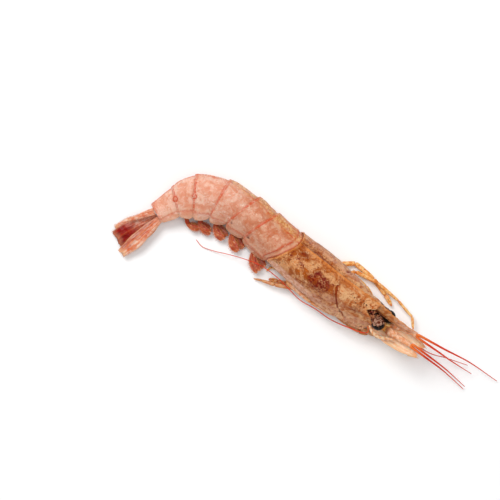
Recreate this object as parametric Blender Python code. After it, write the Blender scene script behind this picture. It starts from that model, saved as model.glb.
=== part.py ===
"""Whole raw red prawn, lying on its left side with the back rolled upwards.

The body is described along a bent axis.  A place on it is given as
  s  millimetres along the axis, 0 at the rear edge of the carapace, + towards the tail, - towards the head
  n  millimetres to the back (dorsal) side of the axis, level with the table
  z  millimetres above the table
and a cross-section as (up, side): towards the back ridge and towards the prawn's right flank.
All sizes below are millimetres and degrees.  The meshes are made in metres, +Z up, table at Z = 0.
"""

import math

import bmesh
import bpy
from mathutils import Vector

MM = 0.001
GAP = 0.3

# Where the rear edge of the carapace lies on the table.
AXIS_START_X = -8.58
AXIS_START_Y = 16.4

# Body plan.  One row for each station along the axis:
# (s, heading towards the tail, height above axis, depth to the side plates, half width,
#  half width at the plate edges, roll of the back towards +Z, slant of the section, axis height over the table)
BODY = [
    (-52.0, 144.0, 5.4, 10.4, 4.6, 5.6, 60.0, 0.0, 16.8),
    (-44.0, 144.0, 5.2, 11.8, 5.9, 6.8, 60.0, 0.0, 16.9),
    (-30.0, 144.0, 5.7, 11.0, 8.9, 8.8, 60.0, 1.0, 16.8),
    (-14.0, 143.5, 7.0, 9.0, 9.8, 9.0, 60.0, 2.0, 14.4),
    (0.0, 140.0, 7.6, 8.6, 9.5, 7.6, 58.0, 3.0, 11.6),
    (13.8, 138.5, 8.2, 8.8, 8.4, 6.2, 53.0, 16.0, 10.5),
    (24.6, 147.0, 8.8, 7.6, 8.1, 5.6, 45.0, 20.0, 9.4),
    (36.6, 161.5, 9.8, 8.0, 7.7, 5.2, 35.0, 12.0, 8.7),
    (48.3, 182.5, 9.4, 8.4, 6.9, 4.6, 24.0, 8.0, 7.5),
    (57.5, 205.5, 6.5, 6.2, 5.4, 3.6, 15.0, 12.0, 5.4),
    (67.7, 217.0, 4.3, 4.2, 3.6, 2.4, 9.0, 8.0, 3.7),
    (95.0, 220.0, 4.0, 4.0, 3.4, 2.2, 6.0, 6.0, 3.3),
]
HEADING, HEIGHT, DEPTH, WIDTH, EDGE, ROLL, SLANT, AXIS_Z = range(1, 9)

# Carapace.
CARAPACE_LENGTH = 50.0
CARAPACE_POWER = 2.45
BROW_POWER = 1.7
KEEL = 0.7
GROOVE_AT = 26.3
GROOVE_LEAN = 0.068
GROOVE_WIDTH = 2.6
GROOVE_DEPTH = 0.9
SHELL_LIP = 1.5
STERNUM_DEPTH = 2.8
NECK_BOW = 4.2
NECK_CORNER = 1.7
NECK_GAP = 0.6
FACE_RECESS = 2.4

# Rostrum: a thin blade on the keel.
ROSTRUM_ROOT = 34.0
ROSTRUM_TIP = 70.5
ROSTRUM_TEETH = 7
TOOTH_HEIGHT = 0.7
ROSTRUM_DEPTH = 3.2
ROSTRUM_DEPTH_GAIN = 5.3

# Abdomen: the stations of its joints, and how far each side plate hangs below the joints.
JOINTS = [0.0, 13.8, 24.6, 36.6, 48.3, 57.5, 67.7]
LOBES = [3.4, 3.2, 2.9, 2.0, 1.1, 0.9]
LOBE_UNDERNEATH = 0.25
ABDOMEN_POWER = 2.3
OVERLAP_STEP = 0.35
BELLY_GROOVE = 2.6
PLATE_EDGE = 1.3

# Eyes: where each stalk starts and where the ball of the eye is, as (t, up, side).
# t is the distance ahead of the carapace's rear edge.
EYE_RADIUS = 3.0
STALK_RADIUS = 1.2
EYE_ROOT = (48.8, 1.2, 2.2)
EYE_BALL = {"right": (53.8, 0.9, 5.6), "left": (56.4, -2.6, -3.2)}

COLOURS = {
    "shell": (0.62, 0.27, 0.17),
    "carapace": (0.45, 0.19, 0.09),
    "tail": (0.55, 0.17, 0.09),
    "limb": (0.66, 0.32, 0.13),
    "swimmeret": (0.50, 0.18, 0.08),
    "feeler": (0.62, 0.08, 0.02),
    "eye": (0.05, 0.03, 0.03),
}


# ---------------------------------------------------------------------------------------------- body axis


def hermite(a, b, slope_a, slope_b, u):
    return (
        (2 * u**3 - 3 * u**2 + 1) * a
        + (u**3 - 2 * u**2 + u) * slope_a
        + (3 * u**2 - 2 * u**3) * b
        + (u**3 - u**2) * slope_b
    )


def track(column, s):
    """Value of one column of the body plan at s, eased through its rows."""
    rows = BODY
    s = min(max(s, rows[0][0]), rows[-1][0])
    i = 0
    while i < len(rows) - 2 and s > rows[i + 1][0]:
        i += 1
    span = rows[i + 1][0] - rows[i][0]

    def slope(k):
        if k == 0 or k == len(rows) - 1:
            return 0.0
        before = (rows[k][column] - rows[k - 1][column]) / (rows[k][0] - rows[k - 1][0])
        after = (rows[k + 1][column] - rows[k][column]) / (rows[k + 1][0] - rows[k][0])
        return 0.0 if before * after < 0 and column != HEADING else (before + after) / 2

    u = (s - rows[i][0]) / span
    return hermite(rows[i][column], rows[i + 1][column], slope(i) * span, slope(i + 1) * span, u)


def make_axis():
    """Points of the axis on the table, a step apart, keyed by step number."""
    step = 0.25
    points = {0: (AXIS_START_X, AXIS_START_Y)}
    for direction in (1, -1):
        x, y = points[0]
        for k in range(1, 600):
            angle = math.radians(track(HEADING, direction * (k - 0.5) * step))
            x += direction * step * math.cos(angle)
            y += direction * step * math.sin(angle)
            points[direction * k] = (x, y)
    return step, points


AXIS_STEP, AXIS_POINTS = make_axis()


def axis_frame(s):
    """Point on the axis over the table, the way to the head, and the way to the back side, all level."""
    k = math.floor(s / AXIS_STEP)
    u = s / AXIS_STEP - k
    (x0, y0), (x1, y1) = AXIS_POINTS[k], AXIS_POINTS[k + 1]
    angle = math.radians(track(HEADING, s))
    ahead = Vector((-math.cos(angle), -math.sin(angle), 0))
    dorsal = Vector((math.sin(angle), -math.cos(angle), 0))
    return Vector((x0 + (x1 - x0) * u, y0 + (y1 - y0) * u, 0)), ahead, dorsal


def on_table(s, n, z):
    """World place of (s, n, z)."""
    point, _, dorsal = axis_frame(s)
    return point + dorsal * n + Vector((0, 0, z))


def in_body(s, up, side):
    """World place of a point given in the rolled cross-section at s."""
    point, ahead, dorsal = axis_frame(s)
    roll = math.radians(track(ROLL, s))
    n = up * math.cos(roll) - side * math.sin(roll)
    z = up * math.sin(roll) + side * math.cos(roll) + track(AXIS_Z, s)
    forward = n * math.tan(math.radians(track(SLANT, s)))
    return point + dorsal * n + ahead * forward + Vector((0, 0, z))


# ------------------------------------------------------------------------------------------ mesh helpers


def new_object(name, mesh, colour, roughness=0.45):
    material = bpy.data.materials.get(colour) or bpy.data.materials.new(colour)
    material.use_nodes = True
    shader = material.node_tree.nodes["Principled BSDF"]
    shader.inputs["Base Color"].default_value = (*COLOURS[colour], 1)
    shader.inputs["Roughness"].default_value = roughness
    shader.inputs["Metallic"].default_value = 0.0
    mesh.materials.clear()
    mesh.materials.append(material)
    mesh.shade_smooth()
    mesh.set_sharp_from_angle(angle=math.radians(50))
    thing = bpy.data.objects.new(name, mesh)
    PRAWN.objects.link(thing)
    return thing


def loft(name, rings, colour, hubs=(None, None)):
    """Closed skin through rings of equal count, with a fan over each end, kept on or above the table."""
    bm = bmesh.new()
    grid = []
    for ring in rings:
        row = []
        for p in ring:
            row.append(bm.verts.new(Vector((p.x, p.y, max(p.z, 0.0))) * MM))
        grid.append(row)
    count = len(rings[0])
    for a, b in zip(grid, grid[1:]):
        for k in range(count):
            m = (k + 1) % count
            bm.faces.new((a[k], a[m], b[m], b[k]))
    for row, place, flip in ((grid[0], hubs[0], True), (grid[-1], hubs[1], False)):
        centre = place * MM if place else sum((v.co for v in row), Vector()) / count
        hub = bm.verts.new(centre)
        for k in range(count):
            m = (k + 1) % count
            bm.faces.new((row[m], row[k], hub) if flip else (row[k], row[m], hub))
    bmesh.ops.triangulate(bm, faces=[f for f in bm.faces if len(f.verts) > 3])
    bmesh.ops.recalc_face_normals(bm, faces=bm.faces)
    mesh = bpy.data.meshes.new(name)
    bm.to_mesh(mesh)
    bm.free()
    return new_object(name, mesh, colour)


def smooth_path(points, steps):
    """Catmull-Rom curve through the points, with a number of steps in each span."""
    ends = [2 * points[0] - points[1], *points, 2 * points[-1] - points[-2]]
    path = []
    for i in range(1, len(ends) - 2):
        a, b, c, d = ends[i - 1 : i + 3]
        for k in range(steps):
            u = k / steps
            path.append(hermite(b, c, (c - a) / 2, (d - b) / 2, u))
    path.append(points[-1].copy())
    return path


def tube(name, path, radii, colour, roundness=None):
    """Limb or feeler: a tapering round curve with filled ends."""
    curve = bpy.data.curves.new(name, "CURVE")
    curve.dimensions = "3D"
    curve.bevel_depth = MM
    curve.bevel_resolution = roundness or (1 if max(radii) < 0.61 else 2)
    curve.use_fill_caps = True
    spline = curve.splines.new("POLY")
    spline.points.add(len(path) - 1)
    for point, place, radius in zip(spline.points, path, radii):
        z = max(place.z, radius)
        point.co = (place.x * MM, place.y * MM, z * MM, 1)
        point.radius = radius
    source = bpy.data.objects.new(name + "_curve", curve)
    PRAWN.objects.link(source)
    bpy.context.view_layer.update()
    depsgraph = bpy.context.evaluated_depsgraph_get()
    mesh = bpy.data.meshes.new_from_object(source.evaluated_get(depsgraph))
    bpy.data.objects.remove(source)
    bpy.data.curves.remove(curve)
    mesh.name = name
    bm = bmesh.new()
    bm.from_mesh(mesh)
    bmesh.ops.remove_doubles(bm, verts=bm.verts, dist=0.00001)
    bmesh.ops.recalc_face_normals(bm, faces=bm.faces)
    bm.to_mesh(mesh)
    bm.free()
    return new_object(name, mesh, colour)


def taper(count, root, tip, power=1.0):
    return [root + (tip - root) * (k / (count - 1)) ** power for k in range(count)]


def blade(name, path, across, widths, thickness, colour, cup=0.0):
    """Leaf-shaped plate along a path; across is the way over its width, cup lifts its two edges."""
    rings = []
    for k, centre in enumerate(path):
        ahead = (path[min(k + 1, len(path) - 1)] - path[max(k - 1, 0)]).normalized()
        side = (across - ahead * across.dot(ahead)).normalized()
        face = side.cross(ahead)
        if face.z < 0:
            face = -face
        w = widths[k]
        t = thickness * min(1.0, 0.35 + w / max(widths))
        ring = []
        for x, up in ((-1, 0), (-0.6, 1), (0, 1), (0.6, 1), (1, 0), (0.6, -1), (0, -1), (-0.6, -1)):
            height = up * t / 2 * (1 if x else 1.35) + cup * w * x * x
            ring.append(centre + side * (x * w) + face * height)
        rings.append(ring)
    return loft(name, rings, colour)


def join(target, extra, operation="UNION"):
    """Boolean of two closed objects, kept as the target's mesh."""
    modifier = target.modifiers.new("join", "BOOLEAN")
    modifier.operation = operation
    modifier.solver = "EXACT"
    modifier.object = extra
    bpy.context.view_layer.update()
    depsgraph = bpy.context.evaluated_depsgraph_get()
    mesh = bpy.data.meshes.new_from_object(target.evaluated_get(depsgraph))
    target.modifiers.clear()
    old = target.data
    target.data = mesh
    bpy.data.meshes.remove(old)
    bpy.data.objects.remove(extra)


# ------------------------------------------------------------------------------------------------- body


def signed_power(value, exponent):
    return math.copysign(abs(value) ** exponent, value)


def half_section(height, width, edge, depth, lip, groove, power, counts):
    """Right half of a section as (up, side), from the ridge over the flank and plate edge to the belly."""
    arch, flank, belly = counts
    points = []
    for k in range(arch):
        angle = math.pi / 2 * k / arch
        up = height * signed_power(math.cos(angle), 2 / power)
        points.append((up, width * signed_power(math.sin(angle), 2 / power)))
    for k in range(flank + 1):
        u = k / flank
        points.append((-depth * u, width - (width - edge) * u**2.2))
    points.append((-depth - 0.25 * lip, edge - 0.5 * lip))
    points.append((-depth + 0.25 * lip, edge - lip))
    for k in range(1, belly + 1):
        u = k / belly
        points.append((-depth + groove * math.sin(math.pi / 2 * u), (edge - lip) * (1 - u)))
    return points


def whole_section(right, left):
    """Ring from the right half and the left half, which share the ridge and the belly point."""
    return right + [(up, -side) for up, side in reversed(left[1:-1])]


def bump(x, centre, width):
    return math.exp(-(((x - centre) / width) ** 2))


def smoothstep(a, b, x):
    u = min(max((x - a) / (b - a), 0), 1)
    return u * u * (3 - 2 * u)


def neck_bow(up, side):
    """How far forward the joint of carapace and abdomen bows at this place of the section."""
    angle = math.degrees(math.atan2(abs(side), up))
    return NECK_BOW * bump(angle, 8, 58) - NECK_CORNER * smoothstep(70, 125, angle)


def carapace_ring(s, scale=1.0):
    """Ring of points of the carapace at s, with keel, neck groove and the front edge's shape."""
    half = half_section(
        track(HEIGHT, s),
        track(WIDTH, s),
        track(EDGE, s),
        track(DEPTH, s),
        SHELL_LIP,
        STERNUM_DEPTH,
        CARAPACE_POWER + (BROW_POWER - CARAPACE_POWER) * smoothstep(26, 44, -s),
        (8, 6, 3),
    )
    ring = []
    for up, side in whole_section(half, half):
        angle = math.degrees(math.atan2(abs(side), up))
        rear = neck_bow(up, side) * smoothstep(16, 0, -s)
        up += KEEL * bump(side, 0, 1.2) * (up > 0)
        groove = GROOVE_DEPTH * bump(-s, GROOVE_AT + GROOVE_LEAN * angle, GROOVE_WIDTH)
        groove *= smoothstep(25, 60, angle) * (1 - smoothstep(115, 135, angle))
        shrink = scale * (1 - groove / track(WIDTH, s))
        front = smoothstep(38, CARAPACE_LENGTH, -s) * scale
        reach = 2.6 * bump(angle, 128, 14) - 3.6 * bump(angle, 62, 24) + 1.2 * bump(angle, 95, 12)
        ring.append(in_body(s, up * shrink, side * shrink) + axis_frame(s)[1] * (front * reach + rear))
    return ring


def neck_hub(s):
    return in_body(s, 0, 0) + axis_frame(s)[1] * NECK_BOW * 0.5


def make_carapace():
    steps = 20
    stations = [-GAP / 2 - CARAPACE_LENGTH * k / steps for k in range(steps + 1)]
    rings = [carapace_ring(s) for s in stations]
    rings.append(carapace_ring(0.3 - CARAPACE_LENGTH, 0.88))
    rings.append(carapace_ring(FACE_RECESS * 0.8 - CARAPACE_LENGTH, 0.72))
    rings.append(carapace_ring(FACE_RECESS - CARAPACE_LENGTH, 0.4))
    hubs = (neck_hub(-GAP / 2), in_body(FACE_RECESS - CARAPACE_LENGTH, 0, 0))
    shell = loft("carapace", rings, "carapace", hubs)
    join(shell, make_rostrum())


def rostrum_edges(t):
    """Upper and lower edge of the rostrum, over the axis, t ahead of the carapace's rear edge."""
    u = (t - ROSTRUM_ROOT) / (ROSTRUM_TIP - ROSTRUM_ROOT)
    top = 6.1 - 2.1 * smoothstep(0.4, 0.78, u) + 1.0 * smoothstep(0.78, 1.0, u)
    deep = (ROSTRUM_DEPTH + ROSTRUM_DEPTH_GAIN * (1 - u)) * (1 - 0.8 * smoothstep(0.92, 1.0, u))
    return top, top - deep


def make_rostrum():
    rings = []
    tooth = (ROSTRUM_TIP - ROSTRUM_ROOT - 8) / ROSTRUM_TEETH
    stations = [ROSTRUM_ROOT]
    for k in range(ROSTRUM_TEETH):
        start = ROSTRUM_ROOT + 2 + k * tooth
        stations += [start, start + tooth * 0.72, start + tooth * 0.86]
    stations += [ROSTRUM_TIP - 5, ROSTRUM_TIP]
    for i, t in enumerate(stations):
        top, bottom = rostrum_edges(t)
        if i % 3 == 2 and i < len(stations) - 2:
            top += TOOTH_HEIGHT
        u = (t - ROSTRUM_ROOT) / (ROSTRUM_TIP - ROSTRUM_ROOT)
        thick = 1.1 * (1 - u) + 0.4
        middle = bottom + (top - bottom) * 0.35
        outline = [(top, 0), (middle, thick), (bottom, 0), (middle, -thick)]
        rings.append([in_body(-t, up, side) for up, side in outline])
    return loft("rostrum", rings, "carapace")


def abdomen_ring(s, segment, u):
    """Ring of one abdominal segment; u runs from its front edge to its rear edge."""
    lobe = LOBES[segment] * math.sqrt(max(0.0, 1 - (2 * u - 1) ** 2))
    swell = OVERLAP_STEP * (2 * smoothstep(0, 1, u) - 1)
    halves = []
    for hang in (lobe, lobe * LOBE_UNDERNEATH):
        halves.append(
            half_section(
                track(HEIGHT, s) + swell,
                track(WIDTH, s) + swell,
                track(EDGE, s) + swell * 0.5,
                track(DEPTH, s) + hang,
                PLATE_EDGE,
                BELLY_GROOVE + hang,
                ABDOMEN_POWER,
                (6, 4, 2),
            )
        )
    neck = 1 - smoothstep(0, 0.6, u) if segment == 0 else 0
    ahead = axis_frame(s)[1]
    return [in_body(s, up, side) + ahead * neck * neck_bow(up, side) for up, side in whole_section(*halves)]


def make_abdomen():
    for i, (front, rear) in enumerate(zip(JOINTS, JOINTS[1:])):
        steps = 6
        start = front + (GAP / 2 if i else NECK_GAP)
        end = rear - GAP / 2
        rings = []
        for k in range(steps + 1):
            u = k / steps
            rings.append(abdomen_ring(start + (end - start) * u, i, u))
        hubs = (in_body(start, 0, 0) if i else neck_hub(start), in_body(end, 0, 0))
        loft(f"abdomen_{i + 1}", rings, "shell", hubs)


# ------------------------------------------------------------------------------------------------- head


def make_eyes():
    """Each eye is one turned piece: a stalk from the orbit and a ball at its end."""
    for side, (t, up, across) in EYE_BALL.items():
        root_t, root_up, root_side = EYE_ROOT
        root = in_body(-root_t, root_up, math.copysign(root_side, across))
        ball = in_body(-t, up, across)
        along = (ball - root).normalized()
        length = (ball - root).length
        path = [root, root + along * (length - EYE_RADIUS * 0.95)]
        radii = [STALK_RADIUS, STALK_RADIUS * 1.2]
        for k in range(1, 8):
            angle = math.pi * (0.18 + 0.82 * k / 7.4)
            path.append(ball - along * EYE_RADIUS * math.cos(angle))
            radii.append(EYE_RADIUS * math.sin(angle))
        tube("eye_" + side, path, radii, "eye", 3)


def make_antennal_scales():
    plans = {
        "right": [(52.6, -6.8, 3.6), (59, -6.8, 3.8), (68, -6.0, 3.9), (76.5, -4.6, 3.8)],
        "left": [(52.6, -6.8, -4.6), (59, -7.0, -4.9), (68, -6.8, -4.4), (77.5, -7.2, -3.6)],
    }
    for side, plan in plans.items():
        path = smooth_path([in_body(-t, up, across) for t, up, across in plan], 3)
        across = in_body(-60, 0, 1) - in_body(-60, 0, 0)
        shape = [1.3, 2.2, 2.8, 3.2, 3.3, 3.2, 3.0, 2.5, 1.8, 0.7]
        blade("antennal_scale_" + side, path, across, shape, 0.9, "limb", cup=0.08)


# Joints of the antennules as (t, up, side, thickness radius); the left one passes under its eye.
ANTENNULES = {
    "right": [
        (50.6, -4.6, 1.9, 1.0),
        (57.6, -4.6, 2.3, 1.0),
        (59.8, -4.1, 2.3, 1.7),
        (63.5, -3.6, 2.3, 1.6),
        (64.2, -3.5, 2.4, 1.3),
        (67.5, -3.0, 2.5, 1.3),
        (71.8, -2.4, 2.7, 0.9),
    ],
    "left": [
        (50.6, -6.4, -0.5, 0.9),
        (57.6, -5.6, -0.5, 0.9),
        (60.4, -5.0, -2.2, 1.3),
        (63.5, -4.4, -3.2, 1.5),
        (64.2, -4.1, -3.3, 1.3),
        (67.5, -3.2, -3.5, 1.3),
        (71.8, -2.4, -3.7, 0.9),
    ],
}
FLAGELLUM_RADII = (0.48, 0.22)
ANTENNA_RADII = (0.48, 0.26)


def make_antennules():
    for side, joints in ANTENNULES.items():
        path = [in_body(-t, up, across) for t, up, across, _ in joints]
        tube("antennule_" + side, path, [radius for *_, radius in joints], "limb")
    routes = {
        "left_1": [(72.6, 2.6, 13.6), (85.5, 4.4, 11.4), (98.5, 6.6, 6.6), (114.0, 7.4, 1.2)],
        "left_2": [(72.6, 1.4, 13.0), (83.5, 1.8, 11.0), (91.0, 2.1, 8.0), (102.5, 3.2, 2.2)],
        "right_1": [(72.6, -2.7, 17.2), (80.0, -2.6, 15.2), (91.0, -2.5, 9.8), (103.4, -3.3, 2.2)],
        "right_2": [(72.6, -3.9, 16.4), (80.0, -3.8, 13.8), (91.0, -3.6, 7.8), (103.8, -4.5, 1.0)],
    }
    for name, route in routes.items():
        path = smooth_path([on_table(-t, n, z) for t, n, z in route], 4)
        tube("antennule_flagellum_" + name, path, taper(len(path), *FLAGELLUM_RADII), "feeler")


def make_antennae():
    right = [(51.0, -7.4, 12.8), (52.8, -9.3, 10.7), (51.6, -10.9, 9.6), (46.0, -12.6, 8.4), (36.4, -14.6, 6.4)]
    right += [(27.6, -14.8, 5.4), (20.0, -15.6, 5.8), (13.0, -14.6, 6.6), (6.0, -13.6, 6.4), (-2.0, -14.0, 5.8)]
    right += [(-9.0, -16.4, 4.8), (-18, -20.0, 2.6), (-28, -22.4, 0.9), (-40, -22.6, 0.6), (-54, -19.5, 0.6)]
    path = smooth_path([on_table(-t, n, z) for t, n, z in right], 3)
    tube("antenna_right", path, taper(len(path), *ANTENNA_RADII), "feeler")
    left = [(49.7, 0.3, 10.1), (52.6, -1.8, 7.8), (60, -1.8, 7.0), (79.5, -0.9, 6.6), (89, 2.2, 4.4), (99, 5.4, 1.4)]
    path = smooth_path([on_table(-t, n, z) for t, n, z in left], 3)
    tube("antenna_left", path, taper(len(path), *FLAGELLUM_RADII), "feeler")


# ------------------------------------------------------------------------------------------------ limbs

# Walking legs and jaw legs.  The first number is where each leg leaves the breast,
# ahead of the rear edge of the carapace.  Then come its knees as (t, n, z, thickness radius).
LEGS = {
    "maxilliped_right": (
        43,
        [
            (49, -7.0, 5.6, 1.2), (56, -5.4, 4.6, 1.0), (64, -3.8, 4.0, 0.6),
        ],
    ),
    "maxilliped_left": (
        43,
        [
            (49, -3.2, 3.4, 1.1), (56, -1.0, 3.0, 1.0), (63, 1.4, 2.2, 0.6),
        ],
    ),
    "pereopod_1_right": (
        37,
        [
            (41, -9.2, 4.6, 1.2), (50, -9.6, 3.0, 1.0), (57, -8.0, 2.2, 1.1),
            (61, -7.0, 1.8, 0.4),
        ],
    ),
    "pereopod_2_right": (
        30,
        [
            (33, -10.4, 3.8, 1.2), (43, -11.6, 1.6, 1.0), (50, -11.0, 1.2, 1.1),
            (54, -9.8, 1.0, 0.4),
        ],
    ),
    "pereopod_3_right": (
        24,
        [
            (21, -9.6, 2.8, 1.1), (13, -12.0, 1.3, 0.9), (7, -14.6, 1.3, 1.0),
            (3.5, -16.4, 1.0, 0.4),
        ],
    ),
    "pereopod_4_right": (
        17,
        [
            (16, -11.8, 4.3, 1.1), (7, -16.8, 3.4, 0.9), (1.5, -19.0, 2.2, 0.6),
            (-1.5, -20.6, 0.9, 0.3),
        ],
    ),
    "pereopod_5_right": (
        10,
        [
            (10.4, -12.4, 6.5, 1.1), (24.3, -13.4, 6.6, 0.9), (33.1, -12.8, 6.4, 0.7),
            (41, -10.8, 6.6, 0.3),
        ],
    ),
    "pereopod_1_left": (
        37,
        [
            (37.5, -1.8, 1.4, 0.9), (35, 5.0, 1.2, 0.9), (35.2, 8.0, 1.1, 0.8),
            (40.5, 7.2, 1.1, 1.0), (46.1, 5.4, 1.0, 0.4),
        ],
    ),
    "pereopod_2_left": (
        30.5,
        [
            (30.5, -2.0, 1.2, 0.9), (28.6, 5.0, 1.1, 0.9), (32.9, 10.0, 2.6, 0.9),
            (43.7, 11.7, 3.7, 0.8), (56.3, 10.6, 3.3, 0.6), (65.8, 8.3, 2.8, 0.6),
            (69.4, 3.9, 3.4, 0.3),
        ],
    ),
    "pereopod_3_left": (
        24.5,
        [
            (24.5, -2.0, 1.0, 0.8), (23, 7.0, 1.1, 1.0), (30.5, 13.2, 1.6, 1.1),
            (41.6, 12.2, 1.4, 1.0), (50.3, 9.5, 1.4, 1.0), (55.4, 7.0, 1.6, 0.4),
        ],
    ),
    "pereopod_4_left": (
        18,
        [
            (14, -5.4, 1.4, 1.0), (6, -9.0, 1.0, 0.8), (1, -11.4, 0.9, 0.5),
            (0.5, -14.2, 0.6, 0.3),
        ],
    ),
    "pereopod_5_left": (
        11.5,
        [
            (7.5, -3.8, 1.4, 1.0), (2, -5.4, 1.0, 0.8), (-2, -7.4, 0.8, 0.5),
            (-3.6, -8.4, 0.6, 0.3),
        ],
    ),
}
LEG_ROOT_SIDE = 3.0
LEG_ROOT_RADIUS = 1.2
LEG_ROOT_RISE = 0.3
# A knee bends over this length of each joint, or this share of a short one.
KNEE_REACH = 1.0
KNEE_SHARE = 0.3


def make_legs():
    for name, (root_t, knees) in LEGS.items():
        side = LEG_ROOT_SIDE if name.endswith("right") else -LEG_ROOT_SIDE
        root = in_body(-root_t, LEG_ROOT_RISE - track(DEPTH, -root_t), side)
        places = [root] + [on_table(-t, n, z) for t, n, z, _ in knees]
        thick = [LEG_ROOT_RADIUS] + [radius for *_, radius in knees]
        path = []
        radii = []
        for a, b, r0, r1 in zip(places, places[1:], thick, thick[1:]):
            bend = min(KNEE_SHARE, KNEE_REACH / (b - a).length)
            for u in (0.0, bend, 1 - bend):
                path.append(a.lerp(b, u))
                radii.append((r0 + (r1 - r0) * u) * (1.0 if u else 0.85))
        path.append(places[-1])
        radii.append(thick[-1] * 0.7)
        tube(name, path, radii, "limb")


# Swimming legs: course of a paddle from its root under the belly,
# as (back, out from the body, share of the drop).
PADDLE_COURSE = [(0.0, 0.0, 0.0), (1.2, 3.2, 0.45), (0.4, 5.8, 0.65), (-2.6, 8.2, 0.85), (-6.4, 10.2, 1.0)]
PADDLE_WIDTHS = [1.1, 1.1, 1.1, 1.2, 1.4, 1.7, 1.9, 2.0, 1.9, 1.7, 1.3, 0.9, 0.4]
PADDLE_ROOT_SIDE = 2.0
PADDLE_THICKNESS = 0.9


def make_pleopods():
    """Five pairs of paddle-shaped swimming legs, folded forward along the belly."""
    for i, (front, rear) in enumerate(zip(JOINTS[:5], JOINTS[1:])):
        middle = (front + rear) / 2
        size = 1.0 - 0.08 * i
        for side, sign, end_z in (("right", 1, 2.6), ("left", -1, 0.7)):
            root = in_body(middle, -track(DEPTH, middle) - 0.8, sign * PADDLE_ROOT_SIDE * size)
            point, ahead, dorsal = axis_frame(middle)
            path = []
            for back, out, drop in PADDLE_COURSE:
                place = root - ahead * back * size - dorsal * out * size
                place.z = root.z + (end_z - root.z) * drop
                path.append(place)
            path = smooth_path(path, 3)
            across = ahead * 0.45 + dorsal * 0.9
            widths = [width * size for width in PADDLE_WIDTHS]
            blade(f"pleopod_{i + 1}_{side}", path, across, widths, PADDLE_THICKNESS, "swimmeret")


# ------------------------------------------------------------------------------------------------- tail

# Blades of the tail fan: places as (distance behind the last joint, n, z) and half widths along them.
TAIL = {
    "telson": (
        [(0.6, 1.4, 5.3), (4.5, 2.8, 5.8), (8.5, 4.3, 5.5), (12.2, 5.7, 4.8)],
        [1.7, 1.5, 1.1, 0.4],
        1.5,
    ),
    "uropod_outer_right": (
        [(0.8, -2.8, 4.3), (8.0, -3.2, 4.9), (16.0, -3.6, 4.3), (24.0, -3.5, 3.0)],
        [1.6, 2.6, 3.3, 2.0],
        1.0,
    ),
    "uropod_inner_right": (
        [(1.0, -0.8, 2.9), (8.0, 0.4, 3.3), (15.0, 2.0, 2.7), (21.6, 3.1, 1.8)],
        [1.1, 2.9, 4.3, 3.9],
        0.9,
    ),
    "uropod_inner_left": (
        [(0.9, 0.8, 1.7), (8.0, 3.0, 1.9), (14.0, 5.0, 1.4), (18.8, 6.9, 0.8)],
        [1.0, 2.2, 3.0, 1.8],
        0.8,
    ),
    "uropod_outer_left": (
        [(1.0, -3.0, 0.9), (8.0, -3.6, 0.7), (15.0, -2.6, 0.6), (21.0, -1.8, 0.5)],
        [1.0, 2.2, 2.9, 1.6],
        0.8,
    ),
}


def make_tail():
    for name, (route, widths, thickness) in TAIL.items():
        root = JOINTS[-1]
        path = smooth_path([on_table(root + s, n, z) for s, n, z in route], 3)
        dorsal = axis_frame(root + 10)[2]
        spread = [widths[0]]
        for a, b in zip(widths, widths[1:]):
            spread += [a + (b - a) / 3, a + (b - a) * 2 / 3, b]
        blade(name, path, dorsal, spread, thickness, "tail")


def make_collection(name):
    collection = bpy.data.collections.get(name) or bpy.data.collections.new(name)
    if collection.name not in bpy.context.scene.collection.children:
        bpy.context.scene.collection.children.link(collection)
    return collection


for leftover in list(bpy.data.objects):
    bpy.data.objects.remove(leftover)
PRAWN = make_collection("raw_red_prawn")
make_carapace()
make_abdomen()
make_eyes()
make_antennal_scales()
make_antennules()
make_antennae()
make_legs()
make_pleopods()
make_tail()
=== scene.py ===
"""Looks of the whole raw red prawn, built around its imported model.

The body is described along a bent axis, as its solids are.  A place on it is
  s  millimetres along the axis from the rear edge of the carapace to the tail (t is the same to the head)
  n  millimetres to the back side of the axis, level with the table
  z  millimetres above the table
and a cross-section is (up, side): towards the back ridge and towards the prawn's right flank.
"""

import math

import bpy
import numpy as np
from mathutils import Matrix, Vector


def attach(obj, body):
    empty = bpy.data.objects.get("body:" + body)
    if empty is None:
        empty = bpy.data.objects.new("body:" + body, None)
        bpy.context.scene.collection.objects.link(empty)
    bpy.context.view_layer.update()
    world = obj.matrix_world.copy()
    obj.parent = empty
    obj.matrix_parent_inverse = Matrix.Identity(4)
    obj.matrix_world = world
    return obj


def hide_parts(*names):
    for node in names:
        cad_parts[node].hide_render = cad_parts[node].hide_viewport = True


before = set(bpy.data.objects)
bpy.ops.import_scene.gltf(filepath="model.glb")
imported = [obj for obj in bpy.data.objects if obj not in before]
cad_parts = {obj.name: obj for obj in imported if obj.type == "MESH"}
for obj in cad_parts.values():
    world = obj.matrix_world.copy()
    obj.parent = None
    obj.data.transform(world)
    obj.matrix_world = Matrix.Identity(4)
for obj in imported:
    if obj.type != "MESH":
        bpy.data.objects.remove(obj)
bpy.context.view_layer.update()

MM = 0.001
STEP = 0.25
S_GRID = np.arange(-640, 641) * STEP
RNG = np.random.default_rng(11)

# ---- body plan

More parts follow.
